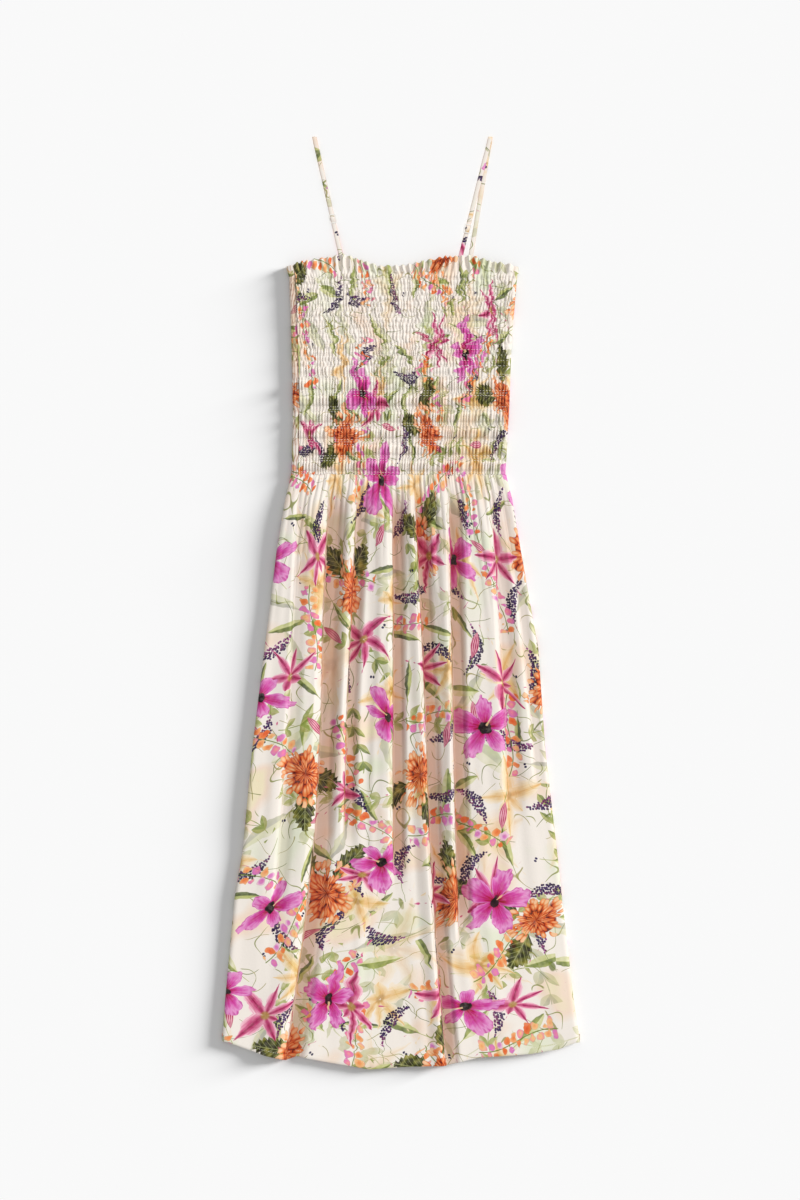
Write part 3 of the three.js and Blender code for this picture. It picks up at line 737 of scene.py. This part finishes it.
def cells(tree, place, spacing, seed=0.0, loose=0.6):
    """One centre for each cell of the cloth: the distance to it, its random values and its place."""
    scaled = vector_sum(tree, "SCALE", place, 1 / spacing)
    moved = vector_sum(tree, "ADD", scaled, (seed, seed * 1.7, 0))
    node = tree.nodes.new("ShaderNodeTexVoronoi")
    node.voronoi_dimensions = "2D"
    feed(tree, node.inputs["Vector"], moved)
    node.inputs["Scale"].default_value = 1.0
    node.inputs["Randomness"].default_value = loose
    from_centre = vector_sum(tree, "SUBTRACT", moved, Wire(tree, node.outputs["Position"]))
    return Wire(tree, node.outputs["Distance"]), Wire(tree, node.outputs["Color"]), from_centre


def cloudy(tree, place, grain, detail=1.0):
    """Soft random values from 0 to 1 in patches about as wide as the grain, in millimetres."""
    node = tree.nodes.new("ShaderNodeTexNoise")
    node.noise_dimensions = "2D"
    feed(tree, node.inputs["Vector"], place)
    node.inputs["Scale"].default_value = 1 / grain
    node.inputs["Detail"].default_value = detail
    return Wire(tree, node.outputs["Fac"])


def hashed(value, seed=0.0):
    """An uneven value from 0 to 1 for each whole number."""
    return ((value * 12.9898 + seed).sine() * 4375.85).fraction()


class Motif:
    """A motif's group while it is drawn: x, y from its centre in mm, r and turn round it, random values."""

    def __init__(self, name, spacing, seed):
        outputs = [("Dye", "NodeSocketColor"), ("Mask", "NodeSocketFloat")]
        self.tree, entry, self.exit = new_group(name, [("Place", "NodeSocketVector")], outputs)
        self.place = Wire(self.tree, entry.outputs["Place"])
        _, random, from_centre = cells(self.tree, self.place, spacing, seed)
        self.random = split(self.tree, random)
        self.angle = self.random[0] * FULL_TURN
        from_centre = vector_sum(self.tree, "SCALE", from_centre, spacing)
        self.x, self.y, _ = split(self.tree, self.turned(from_centre))
        self.wobble = cloudy(self.tree, self.place, 9.0) - 0.5

    def turned(self, vector):
        """A vector on the cloth as it is in the motif's own, randomly turned, frame."""
        node = self.tree.nodes.new("ShaderNodeVectorRotate")
        node.rotation_type = "Z_AXIS"
        feed(self.tree, node.inputs["Vector"], vector)
        feed(self.tree, node.inputs["Angle"], self.angle)
        return Wire(self.tree, node.outputs[0])

    def polar(self):
        """Distance and angle from the centre, as if the flower were seen a little from the side."""
        y = self.y * (self.random[2] * 0.8 + 1)
        r = (self.x * self.x + y * y) ** 0.5
        return r, self.x.sum("ARCTAN2", y, self.x)

    def petals(self, turn, count):
        """How far each point is from its petal's middle (0) to the gap (1), and that petal's own length."""
        at = turn * (count / FULL_TURN)
        return (at.fraction() - 0.5).size() * 2, hashed(at.whole(), self.random[1]) * 0.5 + 0.7

    def some(self, share):
        """1 in that share of the cells and 0 in the others, so the layout has gaps."""
        return (self.random[1] - (1 - share)).rise(0, 0.01)

    def finish(self, colour, mask):
        """Ends the group with its dyes and its mask."""
        feed(self.tree, self.exit.inputs["Dye"], colour)
        feed(self.tree, self.exit.inputs["Mask"], mask)
        return self.tree


# %% [markdown]
# ## The flowers
#
# The cloth has large flowers in magenta, rust and rose with smaller sprays between them, painted like
# watercolour. These are ordinary garden flowers of the same colours and size in a layout of their own. A
# petal's edge is a radius that changes with the angle, the dye runs from heart to tip on a colour ramp,
# and noise stretched along the petal gives the brush streaks.

# %% Hibiscus, chrysanthemum and lily
def hibiscus():
    m = Motif("hibiscus", spacing=188, seed=3.1)
    r, turn = m.polar()
    across, own = m.petals(turn, 5)
    edge = own * 43 * (1 - (across**2.2) * 0.74) + m.wobble * 14
    streaks = cloudy(m.tree, join(m.tree, turn * 9, r * 0.05), 1.0, 2.0)
    along = r / edge + (streaks - 0.5) * 0.55
    petals = along.ramp((0.0, "#5c0a25"), (0.16, "#b01238"), (0.3, "#c92f86"), (0.6, "#d95fb2"),
                        (0.86, "#eba6d6"), (1.0, "#d267b0"))
    shaded = over(m.tree, petals, dye("#a02668"), across.rise(0.8, 1.0) * 0.6)
    heart = (m.wobble * 10 + 7.5 - r).rise(0, 1.5)
    flower = over(m.tree, shaded, dye("#24070f"), heart)
    pistil = (1.2 + m.wobble * 2 - m.y.size()).rise(0, 0.5) * (m.x - 2).rise(0, 1) * (25 - m.x).rise(0, 1)
    tip = pistil.ramp((0.0, "#f2b9c4"), (1.0, "#f0cf9a"))
    return m.finish(over(m.tree, flower, tip, pistil * 0.85), (edge - r).rise(0, 1.2))


def chrysanthemum():
    m = Motif("chrysanthemum", spacing=172, seed=8.4)
    r, turn = m.polar()
    lobes = cloudy(m.tree, m.place, 24.0, 0.0) * 1.1 + 0.45
    far, own, from_middle = cells(m.tree, join(m.tree, turn * 4.6, r / 13), 1.0, 0.0, 0.8)
    chance, (_, outward, _) = split(m.tree, own)[0], split(m.tree, from_middle)
    rim = (0.56 - far).rise(0, 0.12) * (lobes * 26 + chance * 14 + outward * 13 - r).rise(0, 0.5)
    flower = rim.at_least((lobes * 25 - r).rise(0, 2))
    tone = (0.55 - far) * 1.15 + outward * 0.4 + chance * 0.25 + r / 85 + m.wobble * 0.3
    petals = tone.ramp((0.05, "#6e1c0a"), (0.25, "#b8431a"), (0.5, "#dd6f31"), (0.75, "#ee9f66"),
                       (1.0, "#f6cba3"))
    away = m.x * 0.8 + m.y.size() * 0.6 - 14
    side = (m.y.size() * 0.8 - m.x * 0.6).size()
    teeth = ((away / 6.5 - side * 0.08).fraction() - 0.5).size() * 7.0
    half = ((away / 52).at_least(0).at_most(1) * math.pi).sine() * 14 + teeth - 3 + m.wobble * 6
    leaf = (half - side).rise(0, 0.8)
    veins = ((away - side * 1.2) / 6.5).fraction().rise(0.8, 0.97).at_least((0.7 - side).rise(0, 0.5))
    shade = m.wobble * 1.5 + 0.5
    green = shade.ramp((0.15, "#33280f"), (0.42, "#45491e"), (0.65, "#77762f"), (0.95, "#aba355"))
    leaves = over(m.tree, green, dye("#cdd096"), veins * 0.5)
    return m.finish(over(m.tree, leaves, petals, flower), flower.at_least(leaf))


def lily(name, spacing, seed, reach, width, fading, dyes):
    m = Motif(name, spacing=spacing, seed=seed)
    r, turn = m.polar()
    spread = (turn + m.random[1] * FULL_TURN).sine() * 0.42
    across, own = m.petals(turn + spread + r * (m.random[1] - 0.5) * 0.022, 6)
    side = (across * (FULL_TURN / 12)).sine() * r
    own = own * ((own - 0.82).rise(0, 0.01) * 0.4 + 0.6)
    along = (r / (own * reach)).at_most(1)
    half = ((along**0.8) * math.pi).sine() * width + m.wobble * 6
    streaks = cloudy(m.tree, join(m.tree, side * 0.9, r * 0.04), 1.0, 1.0) - 0.5
    tone = side / half.at_least(0.5) * 0.85 + along * fading + m.wobble * 0.5 + streaks * 0.55 + 0.07
    petals = tone.ramp((0.05, dyes[0]), (0.3, dyes[1]), (0.65, dyes[2]), (1.0, dyes[3]))
    heart = (7.0 - r).rise(0, 4)
    shown = (half - side).rise(0, 1.0) * m.some(0.75)
    return m.finish(over(m.tree, petals, dye(dyes[4]), heart * 0.8), shown)


def rose_lily():
    dyes = ("#a3225a", "#cf5489", "#eda8bf", "#f9e4e6", "#b9a04e")
    return lily("rose_lily", spacing=128, seed=5.7, reach=41, width=7.6, fading=0.05, dyes=dyes)


def golden_lily():
    dyes = ("#dba24e", "#e9c07c", "#f3dab0", "#f5e7d2", "#b98a22")
    return lily("golden_lily", spacing=112, seed=12.9, reach=44, width=10.5, fading=0.45, dyes=dyes)


# %% [markdown]
# ## Sprays, leaves and small things
#
# Between the flowers run stems with leaves, spikes of dark beads, sprays of small blossoms, striped buds
# and thin tendrils. A stem is a bent line: the distance to a curve. Leaves and blossoms repeat along it,
# because the fraction of the length starts again at each step, and the size of the sideways distance
# mirrors them to both sides.

# %% Leaves, spikes, sprays, buds and tendrils
def leaf_spray():
    m = Motif("leaf_spray", spacing=104, seed=21.3)
    off = m.y - (m.x / 19).sine() * 8
    stem = (0.75 - off.size()).rise(0, 0.4) * (46 - m.x.size()).rise(0, 2)
    step = (m.x / 21).fraction() * 21 - 2
    away = step * 0.8 + off.size() * 0.6
    side = off.size() * 0.8 - step * 0.6
    half = ((away / 18).at_least(0).at_most(1) * math.pi).sine() * 4.6 + m.wobble * 2
    leaf = (half - side.size()).rise(0, 0.7) * (50 - m.x.size()).rise(0, 1) * m.some(0.75)
    tone = side.rise(-0.4, 0.5) * 0.45 + m.random[1] * 0.45 + m.wobble * 0.4 + 0.1
    green = tone.ramp((0.1, "#55692a"), (0.35, "#93a04a"), (0.6, "#c4c684"), (0.85, "#a8a762"),
                      (1.0, "#dddab0"))
    return m.finish(green, leaf.at_least(stem * m.some(0.75)))


def broad_leaf():
    m = Motif("broad_leaf", spacing=66, seed=33.6)
    bent = m.y - m.x * m.x * 0.011 * (m.random[1] - 0.5)
    half = (1 - ((m.x / 26) ** 2)) * (4 + m.random[2] * 3.5) + m.wobble * 3
    leaf = (half - bent.size()).rise(0, 0.8) * m.some(0.8)
    tail = (0.6 - bent.size()).rise(0, 0.4) * (m.x - 18).rise(0, 1) * (44 - m.x).rise(0, 2)
    tone = bent.rise(-0.5, 0.6) * 0.5 + m.wobble * 0.55 + m.random[2] * 0.35 + 0.05
    green = tone.ramp((0.05, "#43551e"), (0.3, "#85933e"), (0.55, "#b9bf70"), (0.8, "#d6d6a0"),
                      (1.0, "#e9e6cc"))
    return m.finish(green, leaf.at_least(tail))


def bead_spike():
    m = Motif("bead_spike", spacing=86, seed=44.2)
    along = m.y - m.x * m.x * 0.012
    far, colour, from_bead = cells(m.tree, m.place, 2.6, 0.0, 0.8)
    bead_x, bead_y, _ = split(m.tree, m.turned(vector_sum(m.tree, "SCALE", from_bead, 2.6)))
    off, x = m.y - bead_y, m.x - bead_x
    off = off - x * x * 0.012
    half = (1 - (((x + 4) / 31) ** 2)) * 7.0
    band = (half - off.size()).rise(0, 0.2) * m.some(0.72)
    bead = (0.62 - far).rise(0, 0.16)
    mood = split(m.tree, colour)[0] * 0.4 + (m.x - 8).rise(0, 22) * 0.5 + off * 0.03 + m.random[2] * 0.3
    dark = mood.ramp((0.05, "#2c1440"), (0.4, "#4b2c6c"), (0.6, "#7a2f63"), (0.8, "#a8619a"),
                     (1.0, "#d0a2c6"))
    stem = (0.6 - along.size()).rise(0, 0.4) * (m.x + 10).rise(0, 2) * (44 - m.x).rise(0, 2) * m.some(0.7)
    return m.finish(over(m.tree, dye("#8c9a4e"), dark, band), (band * bead).at_least(stem * (1 - band)))


def blossom_spray():
    m = Motif("blossom_spray", spacing=128, seed=57.8)
    off = m.y - (m.x / 24).sine() * 10
    stem = (0.8 - off.size()).rise(0, 0.5) * (48 - m.x.size()).rise(0, 2)
    step = m.x / 9 + off.rise(-0.1, 0.1) * 0.4
    chance = hashed(step.whole() + off.rise(-0.1, 0.1) * 17, m.random[1])
    from_middle = (step.fraction() - 0.35 - chance * 0.3) * 9
    from_row = (off.size() - 3.5 - chance * 4) * 0.8
    far = (from_middle * from_middle + from_row * from_row) ** 0.5
    blossom = (2.9 + chance * 2 + m.wobble * 8 - far).rise(0, 0.8) * (46 - m.x.size()).rise(0, 1)
    tone = hashed(chance * 9 + step.whole(), 0.3) * 0.85 + far * 0.05
    pink = tone.ramp((0.0, "#e5622e"), (0.3, "#f0955a"), (0.5, "#f6c78f"), (0.7, "#ef8fb0"),
                     (0.9, "#dc84c6"), (1.0, "#f3c9dc"))
    return m.finish(over(m.tree, dye("#7c8f35"), pink, blossom), blossom.at_least(stem))


def striped_bud():
    m = Motif("striped_bud", spacing=112, seed=63.5)
    half = (1 - ((m.x / 17) ** 2)) * 5.2
    bud = (half - m.y.size()).rise(0, 0.7) * (m.random[1] - 0.4).rise(0, 0.02)
    bent = m.y - (m.x / 9).sine()
    tail = (0.6 - bent.size()).rise(0, 0.4) * (m.x - 15).rise(0, 1) * (40 - m.x).rise(0, 2)
    tone = ((m.y / half.at_least(1) * 2.2).fraction() - 0.5).size() * 1.5 + m.wobble * 0.5
    rose = tone.ramp((0.1, "#b02d5e"), (0.4, "#dd7f9c"), (0.7, "#f4cbd2"))
    drawn = over(m.tree, dye("#8b9a48"), rose, bud)
    return m.finish(drawn, bud.at_least(tail * (m.random[1] - 0.4).rise(0, 0.02)))


def bead_pair():
    m = Motif("bead_pair", spacing=62, seed=71.9)
    apart = m.x.size() - 1.8
    far = (apart * apart + m.y * m.y * 0.6) ** 0.5
    mask = (1.7 - far).rise(0, 0.5) * (m.random[1] - 0.45).rise(0, 0.02)
    return m.finish(m.wobble.ramp((0.0, "#2c2350"), (1.0, "#5a4a8c")), mask)


# %% [markdown]
# ## The printed cloth
#
# The print's ground is cream with faint washes of peach, yellow and green. Tendrils are straight lines bent
# by a soft noise, so they wander as brush lines do. The motifs are then laid over each other from the palest
# to the strongest, and one more noise lets every dye pool and thin out like watercolour.

# %% Laying the motifs over each other
def tendrils(tree, place, spacing, lean):
    """Brush lines that wander across the cloth: straight lines bent by soft noise, shown here and there."""
    x, y, _ = split(tree, place)
    bend = cloudy(tree, place, spacing * 0.8, 0.0) * (spacing * 1.5)
    across = (x * math.cos(lean) + y * math.sin(lean) + bend) / spacing
    off = (across.fraction() - 0.5).size() * spacing
    shown = cloudy(tree, vector_sum(tree, "ADD", place, (spacing * 9, 0, 0)), 38, 0.0).rise(0.44, 0.5)
    return (1.05 - off).rise(0, 0.6) * shown * 0.8


def botanical_print():
    """The whole print: a place on the cloth in metres in, its dye out."""
    sockets = [("Cloth", "NodeSocketVector")], [("Dye", "NodeSocketColor")]
    tree, entry, exit_ = new_group("botanical_print", *sockets)
    place = vector_sum(tree, "SCALE", Wire(tree, entry.outputs["Cloth"]), 1000.0)
    washes = cloudy(tree, place, 85, 2.0)
    ground = washes.ramp((0.28, "#e8e9d6"), (0.42, "#f3ece4"), (0.56, "#f3ece4"), (0.68, "#f3e0cf"),
                         (0.76, "#f1e6c9"))
    for spacing, lean, colour in ((47, 0.4, "#8d9440"), (61, 1.6, "#a39a55"), (83, -0.8, "#74803a")):
        ground = over(tree, ground, dye(colour), tendrils(tree, place, spacing, lean))
    leaf, spray, gold = broad_leaf(), leaf_spray(), golden_lily()
    layers = (
        # the motif, how strong its dyes are and how small it is drawn
        (leaf, 0.4, 0.6), (gold, 0.35, 0.65), (spray, 0.45, 0.7), (leaf, 0.9, 0.9), (spray, 0.9, 0.9),
        (bead_pair(), 1, 1), (gold, 0.85, 0.85), (bead_spike(), 1, 0.92), (striped_bud(), 1, 0.9),
        (blossom_spray(), 1, 0.85), (chrysanthemum(), 1, 0.82), (rose_lily(), 1, 0.86),
        (hibiscus(), 1, 0.86),
    )
    pool = (0.8 + cloudy(tree, place, 6, 2.0) * 0.3).at_most(1)
    for group, strength, small in layers:
        node = tree.nodes.new("ShaderNodeGroup")
        node.node_tree = group
        feed(tree, node.inputs["Place"], vector_sum(tree, "SCALE", place, small))
        mask = Wire(tree, node.outputs["Mask"]) * pool * strength
        ground = over(tree, ground, Wire(tree, node.outputs["Dye"]), mask)
    deeper = tree.nodes.new("ShaderNodeGamma")
    deeper.inputs["Gamma"].default_value = 1.2
    feed(tree, deeper.inputs["Color"], ground)
    feed(tree, exit_.inputs["Dye"], Wire(tree, deeper.outputs[0]))
    print("print:", len(layers), "layers,", sum(len(g.nodes) for g in bpy.data.node_groups), "nodes")
    return tree


# %% [markdown]
# ## The cloth's material
#
# The cloth is a light, slightly crinkled viscose. Its place on the panel gives the print, and shade is
# painted into the dye, warmer and darker the deeper a point lies in a fold, because light reaches a valley
# only through and off the cloth round it. A fine weave and small crinkles go into the bump.

# %% Printed cloth
def fold_shade():
    """Paints a warm shade into a dye, as much as the painted shade value of its point says."""
    sockets = [("Dye", "NodeSocketColor"), ("Depth", "NodeSocketFloat")], [("Dye", "NodeSocketColor")]
    tree, entry, exit_ = new_group("fold_shade", *sockets)
    plain, painted_shade = Wire(tree, entry.outputs["Dye"]), Wire(tree, entry.outputs["Depth"])
    # painted shade: the dye is multiplied towards a tan colour as far as the point's shade value says
    feed(tree, exit_.inputs["Dye"], over(tree, plain, dye("#bd8d74"), painted_shade, "MULTIPLY"))
    return tree


def weave():
    """The height of the threads and of small crinkles, from a place on the cloth in metres."""
    tree, entry, exit_ = new_group("weave", [("Cloth", "NodeSocketVector")], [("Height", "NodeSocketFloat")])
    place = vector_sum(tree, "SCALE", Wire(tree, entry.outputs["Cloth"]), 1000.0)
    x, y, _ = split(tree, place)
    threads = (x * 11).sine().size() * (y * 11).sine().size()
    crinkle = cloudy(tree, place, 2.6, 3.0)
    feed(tree, exit_.inputs["Height"], threads * 0.25 + crinkle)
    return tree


def new_material(name):
    """A material with its node tree and its shader."""
    material = bpy.data.materials.new(name)
    material.use_nodes = True
    return material, material.node_tree, material.node_tree.nodes["Principled BSDF"]


def group_node(tree, group, **wires):
    node = tree.nodes.new("ShaderNodeGroup")
    node.node_tree = group
    for name, wire in wires.items():
        feed(tree, node.inputs[name], wire)
    return Wire(tree, node.outputs[0])


PRINT, SHADE, WEAVE = botanical_print(), fold_shade(), weave()


def cloth_material(name, offset):
    """The printed cloth, with the print moved by an offset in metres."""
    material, tree, shader = new_material(name)
    uv = tree.nodes.new("ShaderNodeUVMap")
    uv.uv_map = "cloth"
    place = vector_sum(tree, "ADD", Wire(tree, uv.outputs["UV"]), offset)
    # the shade painted at each point, read from the mesh
    painted_shade = tree.nodes.new("ShaderNodeAttribute")
    painted_shade.attribute_name = "painted_shade"
    printed = group_node(tree, PRINT, Cloth=place)
    shaded = group_node(tree, SHADE, Dye=printed, Depth=Wire(tree, painted_shade.outputs["Fac"]))
    feed(tree, shader.inputs["Base Color"], shaded)
    rough = cloudy(tree, vector_sum(tree, "SCALE", place, 1000.0), 14) * 0.2 + 0.62
    feed(tree, shader.inputs["Roughness"], rough)
    bump = tree.nodes.new("ShaderNodeBump")
    bump.inputs["Strength"].default_value = 0.35
    bump.inputs["Distance"].default_value = 0.0003
    feed(tree, bump.inputs["Height"], group_node(tree, WEAVE, Cloth=place))
    feed(tree, shader.inputs["Normal"], Wire(tree, bump.outputs["Normal"]))
    shader.inputs["Specular IOR Level"].default_value = 0.25
    shader.inputs["Sheen Weight"].default_value = 0.12
    shader.inputs["Sheen Roughness"].default_value = 0.4
    return material


FRONT_OFFSET = (0.48, 1.22, 0)
BACK_OFFSET = (2.1, 0.4, 0)
for piece, offset in (
    (skirt[0], FRONT_OFFSET), (skirt[1], BACK_OFFSET),
    (front_cloth, FRONT_OFFSET), (back_cloth, BACK_OFFSET),
    (straps[0], (0.76, 1.56, 0)), (straps[1], (0.31, 1.56, 0)),
):
    piece.data.materials.append(cloth_material(piece.name, offset))


# %% Nylon and thread
def plain_material(name, colour, grain, rough):
    """One colour with faint clouds in its tone and roughness."""
    material, tree, shader = new_material(name)
    place = tree.nodes.new("ShaderNodeTexCoord")
    clouds = cloudy(tree, vector_sum(tree, "SCALE", Wire(tree, place.outputs["Object"]), 1000.0), grain, 2.0)
    tone = over(tree, dye(colour), (1, 1, 1, 1), clouds * 0.15)
    feed(tree, shader.inputs["Base Color"], tone)
    feed(tree, shader.inputs["Roughness"], clouds * 0.15 + rough)
    return material


NYLON = plain_material("white_nylon", "#eeece6", 2.0, 0.3)
THREAD = plain_material("elastic_thread", "#f7f1e6", 1.5, 0.6)
for piece in sliders:
    piece.data.materials.append(NYLON)

# %% [markdown]
# ## Stitches
#
# The elastic thread shows as a pale dash on every pleat, row above row, and the hem has one line of short
# stitches. A stitch is a small rounded dash, and Geometry Nodes set one on each point that is given. The
# points carry the direction and the length of their stitch.

# %% A tree that sets stitches on points
def stitch_tree():
    tree = bpy.data.node_groups.new("set_stitches", "GeometryNodeTree")
    for label, kind in (("Points", "Geometry"), ("Thickness", "Float"), ("Thread", "Material")):
        tree.interface.new_socket(label, in_out="INPUT", socket_type="NodeSocket" + kind)
    tree.interface.new_socket("Stitches", in_out="OUTPUT", socket_type="NodeSocketGeometry")
    add = tree.nodes.new
    entry, exit_ = add("NodeGroupInput"), add("NodeGroupOutput")
    dash = add("GeometryNodeMeshUVSphere")
    dash.inputs["Segments"].default_value = 6
    dash.inputs["Rings"].default_value = 4
    dash.inputs["Radius"].default_value = 0.5
    way, length = add("GeometryNodeInputNamedAttribute"), add("GeometryNodeInputNamedAttribute")
    way.data_type, length.data_type = "FLOAT_VECTOR", "FLOAT"
    way.inputs["Name"].default_value = "way"
    length.inputs["Name"].default_value = "length"
    turn, size = add("FunctionNodeAlignRotationToVector"), add("ShaderNodeCombineXYZ")
    turn.axis = "X"
    place, real = add("GeometryNodeInstanceOnPoints"), add("GeometryNodeRealizeInstances")
    paint = add("GeometryNodeSetMaterial")
    smooth = add("GeometryNodeSetShadeSmooth")
    links = (
        (entry.outputs["Points"], place.inputs["Points"]),
        (dash.outputs["Mesh"], place.inputs["Instance"]),
        (way.outputs["Attribute"], turn.inputs["Vector"]),
        (turn.outputs["Rotation"], place.inputs["Rotation"]),
        (length.outputs["Attribute"], size.inputs["X"]),
        (entry.outputs["Thickness"], size.inputs["Y"]),
        (entry.outputs["Thickness"], size.inputs["Z"]),
        (size.outputs["Vector"], place.inputs["Scale"]),
        (place.outputs["Instances"], smooth.inputs["Geometry"]),
        (smooth.outputs["Geometry"], real.inputs["Geometry"]),
        (real.outputs["Geometry"], paint.inputs["Geometry"]),
        (entry.outputs["Thread"], paint.inputs["Material"]),
        (paint.outputs["Geometry"], exit_.inputs["Stitches"]),
    )
    for start, end in links:
        tree.links.new(start, end)
    return tree


STITCHES = stitch_tree()


def stitches(name, points, ways, lengths, thickness):
    """A mesh with one stitch on each point. Points, directions and lengths are in millimetres."""
    mesh = bpy.data.meshes.new(name + "_points")
    mesh.from_pydata((points * MM).tolist(), [], [])
    mesh.attributes.new("way", "FLOAT_VECTOR", "POINT").data.foreach_set("vector", ways.ravel())
    mesh.attributes.new("length", "FLOAT", "POINT").data.foreach_set("value", lengths * MM)
    holder = placed(name + "_points", mesh)
    modifier = holder.modifiers.new("stitches", "NODES")
    modifier.node_group = STITCHES
    named = {item.name: item.identifier for item in STITCHES.interface.items_tree if item.in_out == "INPUT"}
    modifier[named["Thickness"]] = thickness * MM
    modifier[named["Thread"]] = THREAD
    made = plain_mesh(holder)
    print(name, "has", len(points), "stitches and", len(made.polygons), "faces")
    return placed(name, made)


# %% Elastic thread on the bodice
def elastic_points():
    """A point on each pleat that a thread row crosses, taken from the grid of the bodice front."""
    x, y, z, crest = front_grid
    spots, ways, lengths = [], [], []
    heights = y[:, 0]
    for thread in THREADS:
        row = int(np.argmin(np.abs(heights - thread)))
        c = crest[row]
        tops = np.where((c[1:-1] >= c[:-2]) & (c[1:-1] > c[2:]))[0] + 1
        for top in tops:
            spots.append((x[row, top], y[row, top], z[row, top] + 0.12))
            ways.append((1.0, 0.08 * uneven(top, row) - 0.04, 0.1 * uneven(row, top) - 0.05))
            lengths.append(1.6 + 2.0 * uneven(top, row))
    return np.array(spots), np.array(ways), np.array(lengths)


elastic = stitches("elastic_stitches", *elastic_points(), 0.62)


# %% Hem stitches
HEM_STITCHES = 150
HEM_Y = -590.0
SEWN_ABOVE_HEM = 8.0


def hem_points(cloth):
    """Evenly spaced points on the cloth a little above its hem."""
    points = np.empty(3 * len(cloth.data.vertices))
    cloth.data.vertices.foreach_get("co", points)
    points = points.reshape(-1, 3) / MM
    shares = np.linspace(0.03, 0.97, HEM_STITCHES)
    left, right = from_table(SKIRT_EDGES, HEM_Y), from_table(SKIRT_EDGES, HEM_Y, 2)
    xs = mix(left, right, shares)
    ys = from_table(HEM_LINE, shares) + SEWN_ABOVE_HEM
    spots = []
    for px, py in zip(xs, ys):
        near = np.argmin((points[:, 0] - px) ** 2 + (points[:, 1] - py) ** 2 - 1e-3 * points[:, 2])
        spots.append((px, py, points[near, 2] + 0.05))
    spots = np.array(spots)
    ways = np.gradient(spots, axis=0)
    return spots, ways / np.linalg.norm(ways, axis=1, keepdims=True), np.full(len(spots), 2.1)


hem = stitches("hem_stitches", *hem_points(skirt[0]), 0.35)

# %% [markdown]
# ## What each piece stands for
#
# Every piece rides on the one body and stands for its solid.

# %% Joining the frame
dress = [*skirt, front_cloth, back_cloth, *straps, *sliders, elastic, hem]
for piece, node, slot in (
    (skirt[0], "skirt_front", "printed_cloth"),
    (skirt[1], "skirt_back", "printed_cloth"),
    (front_cloth, "bodice_front", "printed_cloth"),
    (back_cloth, "bodice_back", "printed_cloth"),
    (straps[0], "strap_left", "strap_cloth"),
    (straps[1], "strap_right", "strap_cloth"),
    (sliders[0], "slider_left", "slider_nylon"),
    (sliders[1], "slider_right", "slider_nylon"),
):
    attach(piece, "root")
    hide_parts(node)
for piece in (elastic, hem):
    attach(piece, "root")

# %% [markdown]
# ## Floor, light and camera
#
# The dress lies on a pale sheet of paper in a pale room. A wide light from the upper right, like a window,
# reaches only the dress. A second light, very low, reaches only the paper, and only the wide panels shade
# it: the dress is about 2 cm high, and this gives it the broad soft shadow of the photograph. The camera
# looks straight down from 4 m.

# %% The photograph's setting
FLOOR_TONE = 0.9
FLOOR_Z = -0.0004
ROOM_LIGHT = 0.48
CAMERA_HEIGHT = 4.0
PICTURE_HEIGHT = 1.56  # how much of the paper the picture shows, from top to bottom
scene = bpy.context.scene
scene.view_settings.view_transform = "Standard"


def floor():
    mesh = bpy.data.meshes.new("floor")
    corners = [(-4, -4, FLOOR_Z), (4, -4, FLOOR_Z), (4, 4, FLOOR_Z), (-4, 4, FLOOR_Z)]
    mesh.from_pydata(corners, [], [(0, 1, 2, 3)])
    piece = placed("floor", mesh)
    material, _, shader = new_material("paper")
    shader.inputs["Base Color"].default_value = (FLOOR_TONE, FLOOR_TONE, FLOOR_TONE, 1)
    shader.inputs["Roughness"].default_value = 1.0
    shader.inputs["Specular IOR Level"].default_value = 0.0
    mesh.materials.append(material)
    return piece


def even_light(name, place, width, strength):
    """A wide, even light from the direction of a place. Its width is how large it looks, in degrees."""
    light = bpy.data.lights.new(name, "SUN")
    light.angle = math.radians(width)
    light.energy = strength
    lamp = placed(name, light)
    lamp.location = place
    lamp.rotation_euler = (-lamp.location).to_track_quat("-Z", "Y").to_euler()
    return lamp


def pieces_named(name, pieces):
    """A collection of some pieces, so that a light can be kept to them."""
    group = bpy.data.collections.new(name)
    for piece in pieces:
        group.objects.link(piece)
    return group


def camera():
    lens = bpy.data.cameras.new("camera")
    lens.lens = lens.sensor_width * CAMERA_HEIGHT / PICTURE_HEIGHT
    lens.dof.use_dof = False
    eye = placed("camera", lens)
    eye.location = (-0.0013, 0.0026, CAMERA_HEIGHT + 0.01)
    scene.camera = eye


paper = floor()
window = even_light("window", (1.7, 0.8, 1.75), 34, 2.45)
low = even_light("low_light", (2.0, 0.7, 0.46), 18, 8.5)
window.light_linking.receiver_collection = pieces_named("dress_only", dress)
low.light_linking.receiver_collection = pieces_named("paper_only", [paper])
low.light_linking.blocker_collection = pieces_named("wide_pieces", [*skirt, front_cloth, back_cloth])
world = bpy.data.worlds.new("room")
world.use_nodes = True
world.node_tree.nodes["Background"].inputs["Color"].default_value = (1, 1, 1, 1)
world.node_tree.nodes["Background"].inputs["Strength"].default_value = ROOM_LIGHT
scene.world = world
camera()
